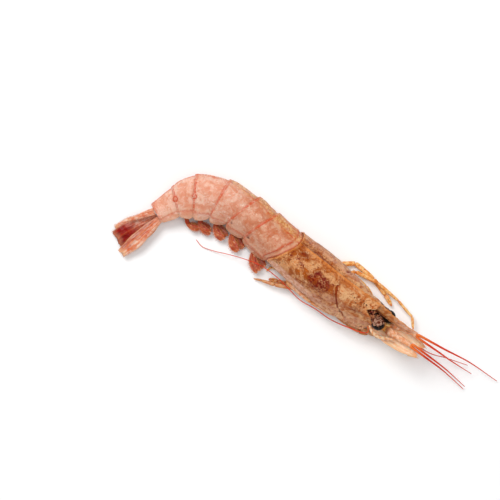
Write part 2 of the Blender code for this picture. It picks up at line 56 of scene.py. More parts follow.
AXIS_START = (-8.58, 16.4)
BODY = [
    (-52, 144, 5.4, 10.4, 4.6, 5.6, 60, 0, 16.8),
    (-44, 144, 5.2, 11.8, 5.9, 6.8, 60, 0, 16.9),
    (-30, 144, 5.7, 11, 8.9, 8.8, 60, 1, 16.8),
    (-14, 143.5, 7, 9, 9.8, 9, 60, 2, 14.4),
    (0, 140, 7.6, 8.6, 9.5, 7.6, 58, 3, 11.6),
    (13.8, 138.5, 8.2, 8.8, 8.4, 6.2, 53, 16, 10.5),
    (24.6, 147, 8.8, 7.6, 8.1, 5.6, 45, 20, 9.4),
    (36.6, 161.5, 9.8, 8, 7.7, 5.2, 35, 12, 8.7),
    (48.3, 182.5, 9.4, 8.4, 6.9, 4.6, 24, 8, 7.5),
    (57.5, 205.5, 6.5, 6.2, 5.4, 3.6, 15, 12, 5.4),
    (67.7, 217, 4.3, 4.2, 3.6, 2.4, 9, 8, 3.7),
    (95, 220, 4, 4, 3.4, 2.2, 6, 6, 3.3),
]
HEADING, HEIGHT, DEPTH, WIDTH, EDGE, ROLL, SLANT, AXIS_Z = range(1, 9)

CARAPACE_LENGTH = 50
GROOVE_AT, GROOVE_LEAN, GROOVE_SWEEP = 26.3, 0.068, 3.8
JOINTS = [0, 13.8, 24.6, 36.6, 48.3, 57.5, 67.7]
LOBES = [3.4, 3.2, 2.9, 2, 1.1, 0.9]
NECK_BOW = 4.2
NECK_CORNER = 1.7
ROSTRUM_ROOT, ROSTRUM_TIP, ROSTRUM_TEETH = 34, 70.5, 7


def hermite(a, b, slope_a, slope_b, u):
    from_a = (2 * u**3 - 3 * u**2 + 1) * a + (u**3 - 2 * u**2 + u) * slope_a
    return from_a + (3 * u**2 - 2 * u**3) * b + (u**3 - u**2) * slope_b


def track_at(column, s):
    rows = BODY
    s = min(max(s, rows[0][0]), rows[-1][0])
    i = 0
    while i < len(rows) - 2 and s > rows[i + 1][0]:
        i += 1
    span = rows[i + 1][0] - rows[i][0]

    def grade(k):
        return (rows[k + 1][column] - rows[k][column]) / (rows[k + 1][0] - rows[k][0])

    def slope(k):
        if k == 0 or k == len(rows) - 1:
            return 0
        before, after = grade(k - 1), grade(k)
        return 0 if before * after < 0 and column != HEADING else (before + after) / 2

    u = (s - rows[i][0]) / span
    return hermite(rows[i][column], rows[i + 1][column], slope(i) * span, slope(i + 1) * span, u)


TRACKS = {c: np.array([track_at(c, s) for s in S_GRID]) for c in range(HEADING, AXIS_Z + 1)}


def track(column, s):
    return np.interp(s, S_GRID, TRACKS[column])


def axis_course():
    turn = np.radians([track_at(HEADING, s) for s in (S_GRID[1:] + S_GRID[:-1]) / 2])
    x = np.r_[0, np.cumsum(np.cos(turn) * STEP)]
    y = np.r_[0, np.cumsum(np.sin(turn) * STEP)]
    zero = len(S_GRID) // 2
    return x - x[zero] + AXIS_START[0], y - y[zero] + AXIS_START[1]


AXIS_X, AXIS_Y = axis_course()


def spread(*values):
    return np.broadcast_arrays(*[np.asarray(v, float) for v in values])


def ahead_of(s):
    angle = np.radians(track(HEADING, s))
    return layers(-np.cos(angle), -np.sin(angle), 0)


def dorsal_of(s):
    angle = np.radians(track(HEADING, s))
    return layers(np.sin(angle), -np.cos(angle), 0)


def on_table(s, n, z):
    s, n, z = spread(s, n, z)
    ground = layers(np.interp(s, S_GRID, AXIS_X), np.interp(s, S_GRID, AXIS_Y), z)
    return ground + dorsal_of(s) * n[..., None]


def in_body(s, up, side):
    s, up, side = spread(s, up, side)
    roll = np.radians(track(ROLL, s))
    n = up * np.cos(roll) - side * np.sin(roll)
    z = up * np.sin(roll) + side * np.cos(roll) + track(AXIS_Z, s)
    forward = n * np.tan(np.radians(track(SLANT, s)))
    return on_table(s, n, z) + ahead_of(s) * forward[..., None]


# ---- helpers


def bump(x, centre, width):
    return np.exp(-(((x - centre) / width) ** 2))


def ramp(a, b, x):
    """Smooth rise from 0 at a to 1 at b."""
    u = np.clip((x - a) / (b - a), 0, 1)
    return u * u * (3 - 2 * u)


def even(count):
    return np.linspace(0, 1, count)


def layers(*fields):
    """Fields side by side on a last axis."""
    return np.stack(np.broadcast_arrays(*fields), -1)


def most(*fields):
    """The greatest of the fields at each place."""
    return layers(*fields).max(-1)


LATTICE = RNG.random((32, 32, 32)) * 2 - 1


def value_noise(p):
    cell = np.floor(p).astype(int)
    f = p - cell
    f = f * f * (3 - 2 * f)
    total = np.zeros(p.shape[:-1])
    for corner in range(8):
        d = np.array([corner & 1, corner >> 1 & 1, corner >> 2])
        weight = np.prod(np.where(d, f, 1 - f), axis=-1)
        i = (cell + d) % 32
        total += weight * LATTICE[i[..., 0], i[..., 1], i[..., 2]]
    return total


def fractal(p, size, octaves=3, shift=0):
    """Smooth noise of about -1 to 1 at places in millimetres."""
    total = np.zeros(p.shape[:-1])
    for k in range(octaves):
        total += value_noise(p / size * 2**k + shift + 7.3 * k) * 0.6**k
    return total


def curve_through(points, steps):
    """Catmull-Rom curve through the points."""
    p = np.asarray(points, float)
    p = np.concatenate([[2 * p[0] - p[1]], p, [2 * p[-1] - p[-2]]])
    out = []
    for i in range(1, len(p) - 2):
        a, b, c, d = p[i - 1 : i + 3]
        out += [hermite(b, c, (c - a) / 2, (d - b) / 2, k / steps) for k in range(steps)]
    return np.array(out + [p[-2]])


def run_along(path):
    """Length of a path up to each of its points."""
    return np.r_[0, np.cumsum(np.linalg.norm(np.diff(path, axis=0), axis=1))]


def resample(path, count):
    run = run_along(path)
    at = np.linspace(0, run[-1], count)
    return np.stack([np.interp(at, run, path[:, k]) for k in range(path.shape[1])], -1)


def unit(v):
    return v / np.maximum(np.linalg.norm(v, axis=-1, keepdims=True), 1e-9)


def tangents(path):
    return unit(np.gradient(path, axis=0))


def side_frames(path):
    """Two directions across a path, turned as little as possible along it."""
    ahead = tangents(path)
    first = np.cross(ahead[0], [0, 0, 1])
    if np.linalg.norm(first) < 0.1:
        first = np.cross(ahead[0], [0, 1, 0])
    across = [unit(first)]
    for a in ahead[1:]:
        across.append(unit(across[-1] - a * np.dot(across[-1], a)))
    across = np.array(across)
    return across, np.cross(ahead, across)


def round_path(path, sides, flat=1):
    """Directions outwards round each point of a path, flat in one of them, and the angle of each side."""
    across, up = side_frames(path)
    turn = np.linspace(0, 2 * np.pi, sides, endpoint=False)
    cos, sin = np.cos(turn)[:, None], np.sin(turn)[:, None]
    return cos * across[:, None] + flat * sin * up[:, None], turn


def add_object(name, data):
    thing = bpy.data.objects.new(name, data)
    bpy.context.scene.collection.objects.link(thing)
    return thing


class Piece:
    """Closed skins gathered into one mesh, with colour masks and a flow map in millimetres."""

    def __init__(self):
        self.verts, self.faces, self.masks, self.flows = [], [], [], []
        self.count = 0

    def loft(self, rings, mask, flow, hubs=(None, None), floor=0):
        """Skin over rows of rings, closed round a hub at each end and kept above the floor."""
        rings = np.array(rings, float)
        rows, cols, _ = rings.shape
        rings[..., 2] = np.maximum(rings[..., 2], floor)
        first = rings[0].mean(0) if hubs[0] is None else hubs[0]
        last = rings[-1].mean(0) if hubs[1] is None else hubs[1]
        verts = np.concatenate([rings.reshape(-1, 3), [first, last]])
        j = np.arange(cols)
        m = (j + 1) % cols
        i = np.arange(rows - 1)[:, None] * cols
        quads = layers(i + j, i + m, i + cols + m, i + cols + j).reshape(-1, 4)
        last_row = (rows - 1) * cols
        start = layers(m, j, rows * cols)
        end = layers(last_row + j, last_row + m, rows * cols + 1)
        triangles = np.concatenate([quads[:, [0, 1, 2]], quads[:, [0, 2, 3]], start, end])
        corners = verts[triangles] - verts.mean(0)
        volume = np.einsum("ij,ij->i", corners[:, 0], np.cross(corners[:, 1], corners[:, 2])).sum()
        for group in (quads, start, end):
            self.faces += (group[:, :: -1 if volume < 0 else 1] + self.count).tolist()
        self.verts.append(verts)
        for store, field, size in ((self.masks, mask, 4), (self.flows, flow, 3)):
            store.append(np.concatenate([field.reshape(-1, size), [field[0].mean(0), field[-1].mean(0)]]))
        self.count += len(verts)

    def tube(self, path, radii, sides=12, flat=1, mask=None, wobble=0):
        """Round limb along a path; flat squeezes it across, mask is (rows, 4)."""
        path[:, 2] = np.maximum(path[:, 2], radii * 0.9)
        ring, turn = round_path(path, sides, flat)
        rings = path[:, None] + ring * radii[:, None, None]
        if wobble:
            rings += ring * (fractal(rings, 1.4, 2) * wobble)[..., None]
        mask = np.zeros((len(path), 4)) if mask is None else mask
        self.loft(rings, np.repeat(mask[:, None], sides, 1), layers(run_along(path)[:, None], turn, 0))

    def make(self, name, material, slot, *nodes):
        mesh = bpy.data.meshes.new(name)
        mesh.from_pydata((np.concatenate(self.verts) * MM).tolist(), [], self.faces)
        colour = mesh.attributes.new("mask", "FLOAT_COLOR", "POINT")
        colour.data.foreach_set("color", np.clip(np.concatenate(self.masks), 0, 1).ravel())
        flow = mesh.attributes.new("flow", "FLOAT_VECTOR", "POINT")
        flow.data.foreach_set("vector", np.concatenate(self.flows).ravel())
        mesh.materials.append(material)
        mesh.shade_smooth()
        thing = add_object(name, mesh)
        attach(thing, "root")
        if nodes:
            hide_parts(*nodes)

    def look(self, node, material, slot):
        self.make(node + "_look", material, slot, node)


# ---- materials

SHEEN = 0.034
EXPOSURE = 0.98
EYE_BLACK = [0.009, 0.005, 0.004, 1]
FLOOR_WHITE = (0.93, 0.93, 0.93, 1)


def tone(r, g, b):
    """Colour that shows as these 0 to 255 values once the sheen of the wet surface is added."""
    linear = [(v / 255 / 12.92) if v < 10.3 else ((v / 255 + 0.055) / 1.055) ** 2.4 for v in (r, g, b)]
    return tuple(max(v - SHEEN, v * 0.15) * EXPOSURE for v in linear) + (1,)


class Shader:
    """Short words for building a Principled material out of nodes; base is the colour painted so far."""

    def __init__(self, name, **values):
        self.material = bpy.data.materials.new(name)
        self.material.use_nodes = True
        self.tree = self.material.node_tree
        self.surface = self.fill(self.tree.nodes["Principled BSDF"], values)
        self.base = None

    def fill(self, node, inputs):
        for key, value in inputs.items():
            self.put(node.inputs[key.replace("_", " ")], value)
        return node

    def node(self, kind, **inputs):
        return self.fill(self.tree.nodes.new("ShaderNode" + kind), inputs)

    def put(self, socket, value):
        if isinstance(value, bpy.types.NodeSocket):
            self.tree.links.new(value, socket)
        else:
            socket.default_value = value

    def place(self):
        return self.node("TexCoord").outputs["Object"]

    def mask(self, channel):
        read = self.node("Attribute")
        read.attribute_name = "mask"
        split = self.node("SeparateColor", Color=read.outputs["Color"])
        return read.outputs["Alpha"] if channel == "a" else split.outputs["rgb".index(channel)]

    def flow(self, x=1, y=1):
        read = self.node("Attribute")
        read.attribute_name = "flow"
        return self.node("Mapping", Vector=read.outputs["Vector"], Scale=(x, y, 1)).outputs["Vector"]

    def along(self, low, high):
        """Rise from low to high millimetres along the flow map."""
        return self.step(self.node("SeparateXYZ", Vector=self.flow()).outputs["X"], low, high)

    def noise(self, size, detail=3, rough=0.55, warp=0):
        """Noise with features of a size in millimetres."""
        shape = {"Scale": 1 / (size * MM), "Detail": detail, "Roughness": rough, "Distortion": warp}
        return self.node("TexNoise", Vector=self.place(), **shape).outputs[0]

    def flow_noise(self, x, y, detail=2, rough=0.5):
        """Noise with features of x by y millimetres on the flow map."""
        where = self.flow(1 / x, 1 / y)
        return self.node("TexNoise", Vector=where, Scale=1, Detail=detail, Roughness=rough).outputs[0]

    def cells(self, size):
        return self.node("TexVoronoi", Vector=self.place(), Scale=1 / (size * MM)).outputs["Distance"]

    def times(self, first, *more):
        for factor in more:
            node = self.node("Math")
            node.operation = "MULTIPLY"
            self.put(node.inputs[0], first)
            self.put(node.inputs[1], factor)
            first = node.outputs[0]
        return first

    def step(self, value, low, high):
        node = self.node("MapRange", Value=value, From_Min=low, From_Max=high)
        node.interpolation_type = "SMOOTHSTEP"
        return node.outputs["Result"]

    def mix(self, factor, a, b):
        """Mix two colours; a tuple is taken as a tone, a list as it is."""
        node = self.node("Mix")
        node.data_type = "RGBA"
        for socket, value in ((0, factor), (6, a), (7, b)):
            self.put(node.inputs[socket], tone(*value) if isinstance(value, tuple) else value)
        return node.outputs[2]

    def patches(self, low, high, *noise):
        """Noise as patches: 0 under low, 1 over high."""
        return self.step(self.noise(*noise), low, high)

    def blend(self, a, b, low, high, *noise):
        """Colour a with patches of colour b."""
        return self.mix(self.patches(low, high, *noise), a, b)

    def paint(self, colour, *factors):
        """Lay a colour over the base, as much as the product of the factors."""
        self.base = self.mix(self.times(*factors), self.base, colour)

    def finish(self, rough_low, rough_high, rough_size, *bumps):
        """Join the base, a patchy roughness and bumps: heights with their depths in millimetres."""
        reach = {"From_Min": 0.3, "From_Max": 0.7, "To_Min": rough_low, "To_Max": rough_high}
        rough = self.node("MapRange", Value=self.noise(rough_size, 2), **reach)
        normal = {}
        for height, depth in bumps:
            bend = self.node("Bump", Height=height, Strength=1, Distance=depth * MM, **normal)
            normal = {"Normal": bend.outputs["Normal"]}
        self.fill(self.surface, {"Base_Color": self.base, "Roughness": rough.outputs["Result"], **normal})
        return self.material


def wet(name, subsurface, scale, coat, specular=0.2):
    return Shader(
        name,
        Subsurface_Weight=subsurface,
        Subsurface_Radius=(1, 0.45, 0.3),
        Subsurface_Scale=scale * MM,
        Coat_Weight=coat,
        Coat_Roughness=0.18,
        IOR=1.4,
        Specular_IOR_Level=specular,
    )


# Abdomen: thin pink shell over white flesh. Mask: joint line, ridge band, bruise, pale edge;
# the joint line and the ridge band on the far side of the back are partly painted shade.
m = wet("prawn_shell", 0.22, 1.3, 0.16)
fore = m.along(46, 6)
deep = m.mix(fore, (228, 158, 130), (200, 126, 94))
light = m.mix(fore, (240, 192, 170), (216, 160, 132))
m.base = m.blend(deep, light, 0.41, 0.59, 4.5, 7, 0.66, 0.8)
salmon = m.mix(fore, (222, 134, 104), (204, 112, 74))
m.paint(salmon, m.patches(0.52, 0.64, 2.8, 8, 0.72, 1.4), 0.75)
flecks = m.mix(fore, (254, 228, 212), (244, 204, 174))
m.paint(flecks, m.patches(0.54, 0.62, 0.9, 7, 0.75, 0.4), m.patches(0.4, 0.6, 4.5, 3), 0.8)
m.paint((214, 108, 72), m.step(m.flow_noise(0.9, 4, 5, 0.7), 0.56, 0.68), 0.4)
m.paint((196, 76, 40), m.step(m.cells(0.65), 0.22, 0.06), m.patches(0.5, 0.6, 2.8, 4, 0.6), 0.7)
m.paint((236, 186, 154), m.mask("a"), 0.6)
# ochre to cream band: along the crest the shell's own band, beyond the crest partly painted shade where the
# back turns away
ridge = m.blend((206, 134, 78), (240, 190, 130), 0.42, 0.6, 1.2, 5, 0.65)
m.paint(ridge, m.mask("g"), m.patches(0.34, 0.56, 1.8, 6, 0.66))
# red-orange joint lines, hinge dots and rims; the rim on the far side of the back is partly painted shade
m.paint((204, 82, 40), m.mask("r"), m.patches(0.34, 0.5, 1.1, 5, 0.68))
m.paint((112, 66, 52), m.mask("b"), m.patches(0.4, 0.56, 0.8, 5, 0.66))
bumps = (m.noise(1.5, 7, 0.66), 0.5), (m.noise(0.45, 3, 0.6), 0.07), (m.cells(0.8), 0.05)
SHELL = m.finish(0.16, 0.46, 1.4, *bumps)

# Head shell: tan to brown where organs show through. Mask: organ, pale band, carina, dark.
m = wet("prawn_carapace", 0.05, 0.9, 0.06, 0.12)
fore = m.along(-27, -36)
brown = m.mix(fore, (166, 92, 52), (184, 106, 66))
tan = m.mix(fore, (216, 158, 112), (226, 176, 130))
m.base = m.blend(brown, tan, 0.42, 0.58, 4.5, 8, 0.68, 0.8)
m.paint(m.mix(fore, (128, 60, 26), (160, 84, 44)), m.patches(0.53, 0.62, 2.6, 8, 0.72, 1.4))
m.paint((232, 184, 138), m.patches(0.55, 0.64, 1.3, 8, 0.75, 0.5))
m.paint((206, 112, 52), m.patches(0.58, 0.66, 2, 6, 0.7, 2))
m.paint((190, 104, 58), m.step(m.flow_noise(7, 0.8, 5, 0.7), 0.56, 0.66), 0.45)
lilac = m.blend((216, 154, 126), (242, 198, 174), 0.42, 0.6, 1.6, 5, 0.65)
m.paint(lilac, m.mask("g"), m.patches(0.3, 0.5, 2.2, 5, 0.62), 0.88)
organ = m.blend((112, 40, 8), (146, 64, 20), 0.45, 0.6, 0.9, 5, 0.7)
m.paint(organ, m.mask("r"), m.patches(0.36, 0.56, 1.8, 7, 0.7, 1.6))
m.paint((88, 44, 22), m.step(m.cells(0.75), 0.30, 0.12), m.patches(0.5, 0.6, 2.2, 4, 0.6), 0.75)
m.paint((74, 36, 16), m.step(m.cells(1), 0.36, 0.24), m.mask("a"), m.patches(0.38, 0.5, 2, 4), 1.7)
m.paint((226, 144, 84), m.mask("b"), m.patches(0.3, 0.5, 1.3, 4, 0.6))
# orange-brown on the cervical groove line, and painted shade inside the turned-in front lip
m.paint((150, 74, 34), m.step(m.mask("a"), 0.54, 0.8))
bumps = (m.noise(1.3, 8, 0.68), 0.5), (m.noise(0.45, 3, 0.6), 0.08), (m.cells(0.9), 0.05)
CARAPACE = m.finish(0.22, 0.5, 1.6, *bumps)

# Tail blades: red between pale ribs. Mask: rib, edge, root, pink.
m = wet("prawn_tail", 0.12, 0.9, 0.1, 0.15)
streak = m.flow_noise(8, 0.3, 6, 0.65)
m.base = m.mix(m.step(streak, 0.42, 0.58), (168, 40, 16), (126, 12, 2))
m.paint((222, 120, 84), m.step(m.flow_noise(6, 0.4, 5, 0.65), 0.56, 0.66), 0.45)
flesh = m.blend((236, 160, 128), (250, 214, 190), 0.42, 0.58, 1.8, 6, 0.66)
# pink flesh where mask a says; on the two lower blades it is raised to full as painted light
m.paint(m.mix(m.times(m.step(streak, 0.47, 0.6), 0.85), flesh, (206, 76, 44)), m.mask("a"))
m.paint((230, 132, 84), m.mask("r"), m.patches(0.3, 0.5, 1.2, 4, 0.6))
m.paint((240, 186, 146), m.mask("g"), 0.75)
m.paint((234, 164, 132), m.mask("b"), 0.75)
TAIL_LOOK = m.finish(0.18, 0.45, 1.4, (streak, 0.35), (m.noise(0.9, 6, 0.66), 0.25))

# Legs: amber, paler and whiter along the middle of each joint. Mask: joint, none, dark, pale.
m = wet("prawn_limb", 0.25, 1, 0.25)
m.base = m.blend((232, 154, 76), (250, 204, 138), 0.42, 0.58, 2.4, 6, 0.66)
m.paint((206, 104, 46), m.patches(0.54, 0.64, 1, 6, 0.7))
m.paint(m.blend((232, 158, 118), (248, 212, 184), 0.44, 0.6, 1.3, 6, 0.68), m.mask("a"))
m.paint((212, 98, 46), m.mask("r"), 0.7)
m.paint((140, 52, 26), m.mask("b"), 0.85)
LIMB = m.finish(0.2, 0.45, 1.6, (m.noise(0.8, 6, 0.66), 0.22))

# Swimming legs: red-brown with pale patches. Mask: none, edge.
m = wet("prawn_swimmeret", 0.2, 1.2, 0.2)
m.base = m.mix(m.step(m.flow_noise(5, 0.5, 3, 0.6), 0.4, 0.62), (190, 96, 60), (150, 46, 26))
m.paint((226, 158, 120), m.patches(0.52, 0.7, 1.6, 3, 0.6))
m.paint((230, 160, 118), m.mask("g"), 0.7)
SWIMMERET = m.finish(0.25, 0.5, 2, (m.noise(0.9, 3), 0.2))

# Feelers: red with fine rings. Mask: orange root.
m = wet("prawn_feeler", 0.15, 0.6, 0.25)
rings = m.node("TexWave", Vector=m.flow(1, 0), Scale=0.7, Distortion=1).outputs["Fac"]
m.base = m.mix(m.step(rings, 0.35, 0.7), (212, 58, 18), (236, 92, 36))
m.paint((186, 44, 14), m.patches(0.55, 0.7, 2, 2))
m.paint((240, 132, 72), m.mask("r"))
FEELER = m.finish(0.25, 0.4, 2, (rings, 0.06))

# Eyes: greyish pink globe with a broken black rim. Mask: rim, stalk.
m = wet("prawn_eye", 0.08, 0.6, 0.06, 0.05)
m.base = m.blend((108, 64, 46), (190, 148, 126), 0.42, 0.58, 1.2, 4, 0.6, 0.6)
m.paint((52, 26, 18), m.patches(0.55, 0.6, 1.5, 5, 0.7, 0.5))
m.paint(EYE_BLACK, m.step(m.times(m.mask("r"), m.noise(1.3, 5, 0.7, 0.8)), 0.3, 0.36))
stalk = m.blend((104, 54, 32), (176, 120, 88), 0.42, 0.58, 0.9, 4, 0.6)
m.paint(m.mix(m.patches(0.5, 0.57, 1.7, 5, 0.7), stalk, (30, 16, 10)), m.mask("g"))
EYE = m.finish(0.12, 0.35, 1.5, (m.cells(0.3), 0.06), (m.noise(0.9, 4, 0.6), 0.25))

# Antennal scales: clear pale amber blades with an orange rib. Mask: rib, edge, root.
m = wet("prawn_scale", 0.35, 1.2, 0.25)
m.base = m.mix(m.step(m.flow_noise(6, 0.5, 4, 0.6), 0.4, 0.62), (252, 228, 198), (242, 204, 160))
m.paint((255, 236, 212), m.patches(0.52, 0.68, 1.6, 4, 0.6))
m.paint((230, 152, 88), m.mask("g"), 0.6)
m.paint((228, 142, 84), m.mask("r"), 0.5)
m.paint(m.blend((228, 160, 112), (246, 212, 176), 0.4, 0.6, 1.2, 3), m.mask("b"))
SCALE = m.finish(0.22, 0.45, 2, (m.flow_noise(4, 0.4), 0.15), (m.noise(0.9, 3), 0.12))

m = wet("prawn_hair", 0, 0.5, 0.2)
m.base = m.blend((196, 92, 52), (226, 150, 96), 0.4, 0.6, 6, 2)
HAIR = m.finish(0.4, 0.6, 2)


# ---- body


def half_section(height, width, edge, depth, lip, groove, power, counts):
    """Right half of each section from ridge over flank and plate edge to belly, as up and side."""
    arch, flank, rim, belly = counts
    a = np.linspace(0, np.pi / 2, arch, endpoint=False)[None]
    u = even(flank)[None]
    v = np.pi * even(rim + 1)[None, 1:]
    w = even(belly + 1)[None, 1:]
    parts = [
        (height * np.cos(a) ** (2 / power), width * np.sin(a) ** (2 / power)),
        (-depth * u, width - (width - edge) * u**2.2),
        (-depth - 0.3 * lip * np.sin(v), edge - lip * (1 - np.cos(v)) / 2),
        (-depth + groove * np.sin(np.pi / 2 * w), (edge - lip) * (1 - w)),
    ]
    return [np.concatenate(grids, 1) for grids in zip(*parts)]


def whole_section(right, left):
    """Both halves as one ring: up, side and the angle from the ridge in degrees."""
    up = np.concatenate([right[0], left[0][:, -2:0:-1]], 1)
    side = np.concatenate([right[1], -left[1][:, -2:0:-1]], 1)
    return up, side, np.degrees(np.arctan2(np.abs(side), up))


def sizes_at(s):
    return [track(name, s)[:, None] for name in (HEIGHT, WIDTH, EDGE, DEPTH)]


def neck_bow(angle):
    return NECK_BOW * bump(angle, 8, 58) - NECK_CORNER * ramp(70, 125, angle)


def section_flow(s, up, side):
    """Flow map of a ring: millimetres along the axis and round the section."""
    step = np.hypot(np.diff(up, axis=1, prepend=up[:, :1]), np.diff(side, axis=1, prepend=side[:, :1]))
    return layers(s[:, None], np.cumsum(step, 1), 0)


def make_carapace():
    rows = 170  # between the lips turned in at both ends
    t = np.r_[2.2, 1.2, 0.3, 0, np.linspace(0.15, CARAPACE_LENGTH, rows), 49.7, 49, 48.2, 47.7]
    scale = np.r_[0.9, 0.94, 0.955, 0.985, np.ones(rows), 0.93, 0.84, 0.72, 0.4][:, None]
    s = -t
    power = 2.45 - 0.75 * ramp(26, 44, t)[:, None]
    height, width, edge, depth = sizes_at(s)
    half = half_section(height, width, edge, depth, 1.5, 2.8, power, (46, 34, 8, 12))
    up, side, angle = whole_section(half, half)
    right = side > 0
    far = t[:, None]
    where = in_body(-far, up, side)
    flank = 1 - ramp(118, 132, angle)
    # relief, in millimetres outwards
    across_cut = far - (GROOVE_AT + GROOVE_LEAN * angle + GROOVE_SWEEP * ramp(115, 155, angle))
    grooved = ramp(30, 48, angle) * (1 - ramp(142, 152, angle))
    cut = bump(across_cut, 0, 0.7) * 0.7 + bump(across_cut, -0.6, 2.4) * 0.45
    relief = -cut * grooved
    relief -= 0.3 * bump(angle, 100 - 0.6 * (far - 38), 5) * ramp(37, 40, far) * (1 - ramp(46, 49, far))
    relief -= 0.2 * bump(angle, 58, 4) * (1 - ramp(24, 30, far))
    relief += 0.25 * bump(far, 49.2, 0.5) * ramp(20, 35, angle) * flank
    relief += 0.25 * bump(far, 0.7, 0.5) * flank
    relief += 0.22 * bump(angle, 124, 5)
    relief += (0.16 * fractal(where, 8) + 0.05 * fractal(where, 1.6)) * flank
    keel = 0.85 * bump(side, 0, 0.7) + 0.15 * bump(side, 0, 1.5) - 0.24 * bump(np.abs(side), 2, 0.7)
    factor = scale * (1 + relief / width)
    front = ramp(38, CARAPACE_LENGTH, far) * scale
    reach = 2.6 * bump(angle, 128, 14) - 3.6 * bump(angle, 62, 24) + 1.2 * bump(angle, 95, 12)
    reach += 1.1 * bump(angle, 93, 3.5) + 0.25 * fractal(where, 2, 2) * scale
    shift = front * reach + neck_bow(angle) * ramp(16, 0, far)
    rings = in_body(-far, (up + keel * (up > 0)) * factor, side * factor)
    rings += ahead_of(s)[:, None] * shift[..., None]
    wander = fractal(where, 5, 3, 3.1)

    def patch(low, high, at, length, turn, width, ragged=0.25):
        """Ragged patch, at millimetres from the rear edge and turn degrees from the ridge."""
        return ramp(low, high, bump(far, at, length) * bump(angle, turn, width) + ragged * wander)

    organ = most(
        patch(0.3, 0.7, 21.2, 6.2, 64, 28) * right,
        0.75 * patch(0.35, 0.8, 8, 4.5, 24, 16) * right,
        0.8 * patch(0.3, 0.75, 13, 9, 14, 14) * ~right,
        0.6 * patch(0.4, 0.8, 43, 4, 88, 22) * right,
    )
    band_at = 105 + 0.5 * far
    ragged_angle = angle + 5 * wander
    pale = most(
        ramp(band_at - 5, band_at + 5, ragged_angle) * (1 - 0.6 * ramp(14, 32, far)) * right,
        0.45 * ~right * ramp(20, 40, ragged_angle) * ramp(46, 30, far),
        0.4 * bump(far, 31, 5) * bump(angle, 98, 18) * right,
    )
    carina = most(
        bump(side, 0.1, 0.55) * (up > 0) * ramp(3, 6, far),
        0.3 * bump(side, 1.7, 0.5) * (up > 0) * ramp(14, 22, far),
        0.55 * bump(far, 0.5, 0.5) * flank,
        0.6 * bump(far, 49.4, 0.6) * ramp(40, 60, angle) * flank,
    )
    dark = most(
        # painted shade: the inside of the turned-in front lip is darkened
        ramp(48.6, 47.9, far) * (scale < 0.95) * (far > 40),
        0.53 * patch(0.2, 0.6, 42.5, 6, 46, 28, 0.2) * right,
        0.9 * bump(across_cut, 0, 0.85) * grooved,
        0.45 * ramp(134, 150, angle),
    )
    p = Piece()
    hubs = in_body(-5, 0, 0), in_body(-47.2, 0, 0)
    p.loft(rings, layers(organ, pale, carina, dark), section_flow(s, up, side), hubs)
    add_rostrum(p)
    p.look("carapace", CARAPACE, "carapace")


def add_rostrum(p):
    """Toothed blade on the keel, with a ridge along each side."""
    t = np.linspace(ROSTRUM_ROOT, ROSTRUM_TIP, 200)
    u = (t - ROSTRUM_ROOT) / (ROSTRUM_TIP - ROSTRUM_ROOT)
    top = 6.1 - 2.1 * ramp(0.4, 0.78, u) + ramp(0.78, 1, u)
    low = top - (3.2 + 5.3 * (1 - u)) * (1 - 0.8 * ramp(0.92, 1, u))
    pitch = (ROSTRUM_TIP - ROSTRUM_ROOT - 8) / ROSTRUM_TEETH
    phase = ((t - ROSTRUM_ROOT - 2) / pitch) % 1
    inside = (t > ROSTRUM_ROOT + 2) & (t < ROSTRUM_TIP - 6)
    top = top + np.where(inside, 0.85 * np.minimum(phase / 0.8, (1 - phase) / 0.2) ** 1.3, 0)
    thick = 1.1 * (1 - u) + 0.4
    heights = np.array([1, 0.96, 0.88, 0.78, 0.68, 0.58, 0.5, 0.44, 0.38, 0.32, 0.26, 0.18, 0.1, 0.04, 0])
    wide = np.array([0.1, 0.18, 0.35, 0.52, 0.66, 0.8, 0.98, 1.04, 0.98, 0.78, 0.74, 0.7, 0.55, 0.35, 0.1])
    heights = np.r_[heights, heights[::-1]]
    wide = np.r_[wide, -wide[::-1]]
    up = low[:, None] + (top - low)[:, None] * heights
    side = thick[:, None] * wide
    where = in_body(-t[:, None], up, side)
    side = side * (1 + 0.1 * fractal(where, 1.5))
    shade = fractal(where, 3, 3, 5)
    ridge = bump(heights, 0.44, 0.07) * 0.75 + ramp(0.8, 1, heights) * 0.7
    brown = 0.4 * bump(heights, 0.3, 0.07) + 0.2 * bump(heights, 0.66, 0.08) + 0.12 * shade
    pale = ramp(0.6, 0.85, u)[:, None] * ramp(0, 0.3, heights)
    p.loft(in_body(-t[:, None], up, side), layers(most(brown, 0), pale, ridge, 0), section_flow(-t, up, side))


HINGES = {4: 75, 5: 72}  # joint: degrees from the ridge
BRUISES = {0: (112, 9, 0.92, 0.1), 1: (110, 8, 0.85, 0.12)}  # segment: place and width in degrees and along


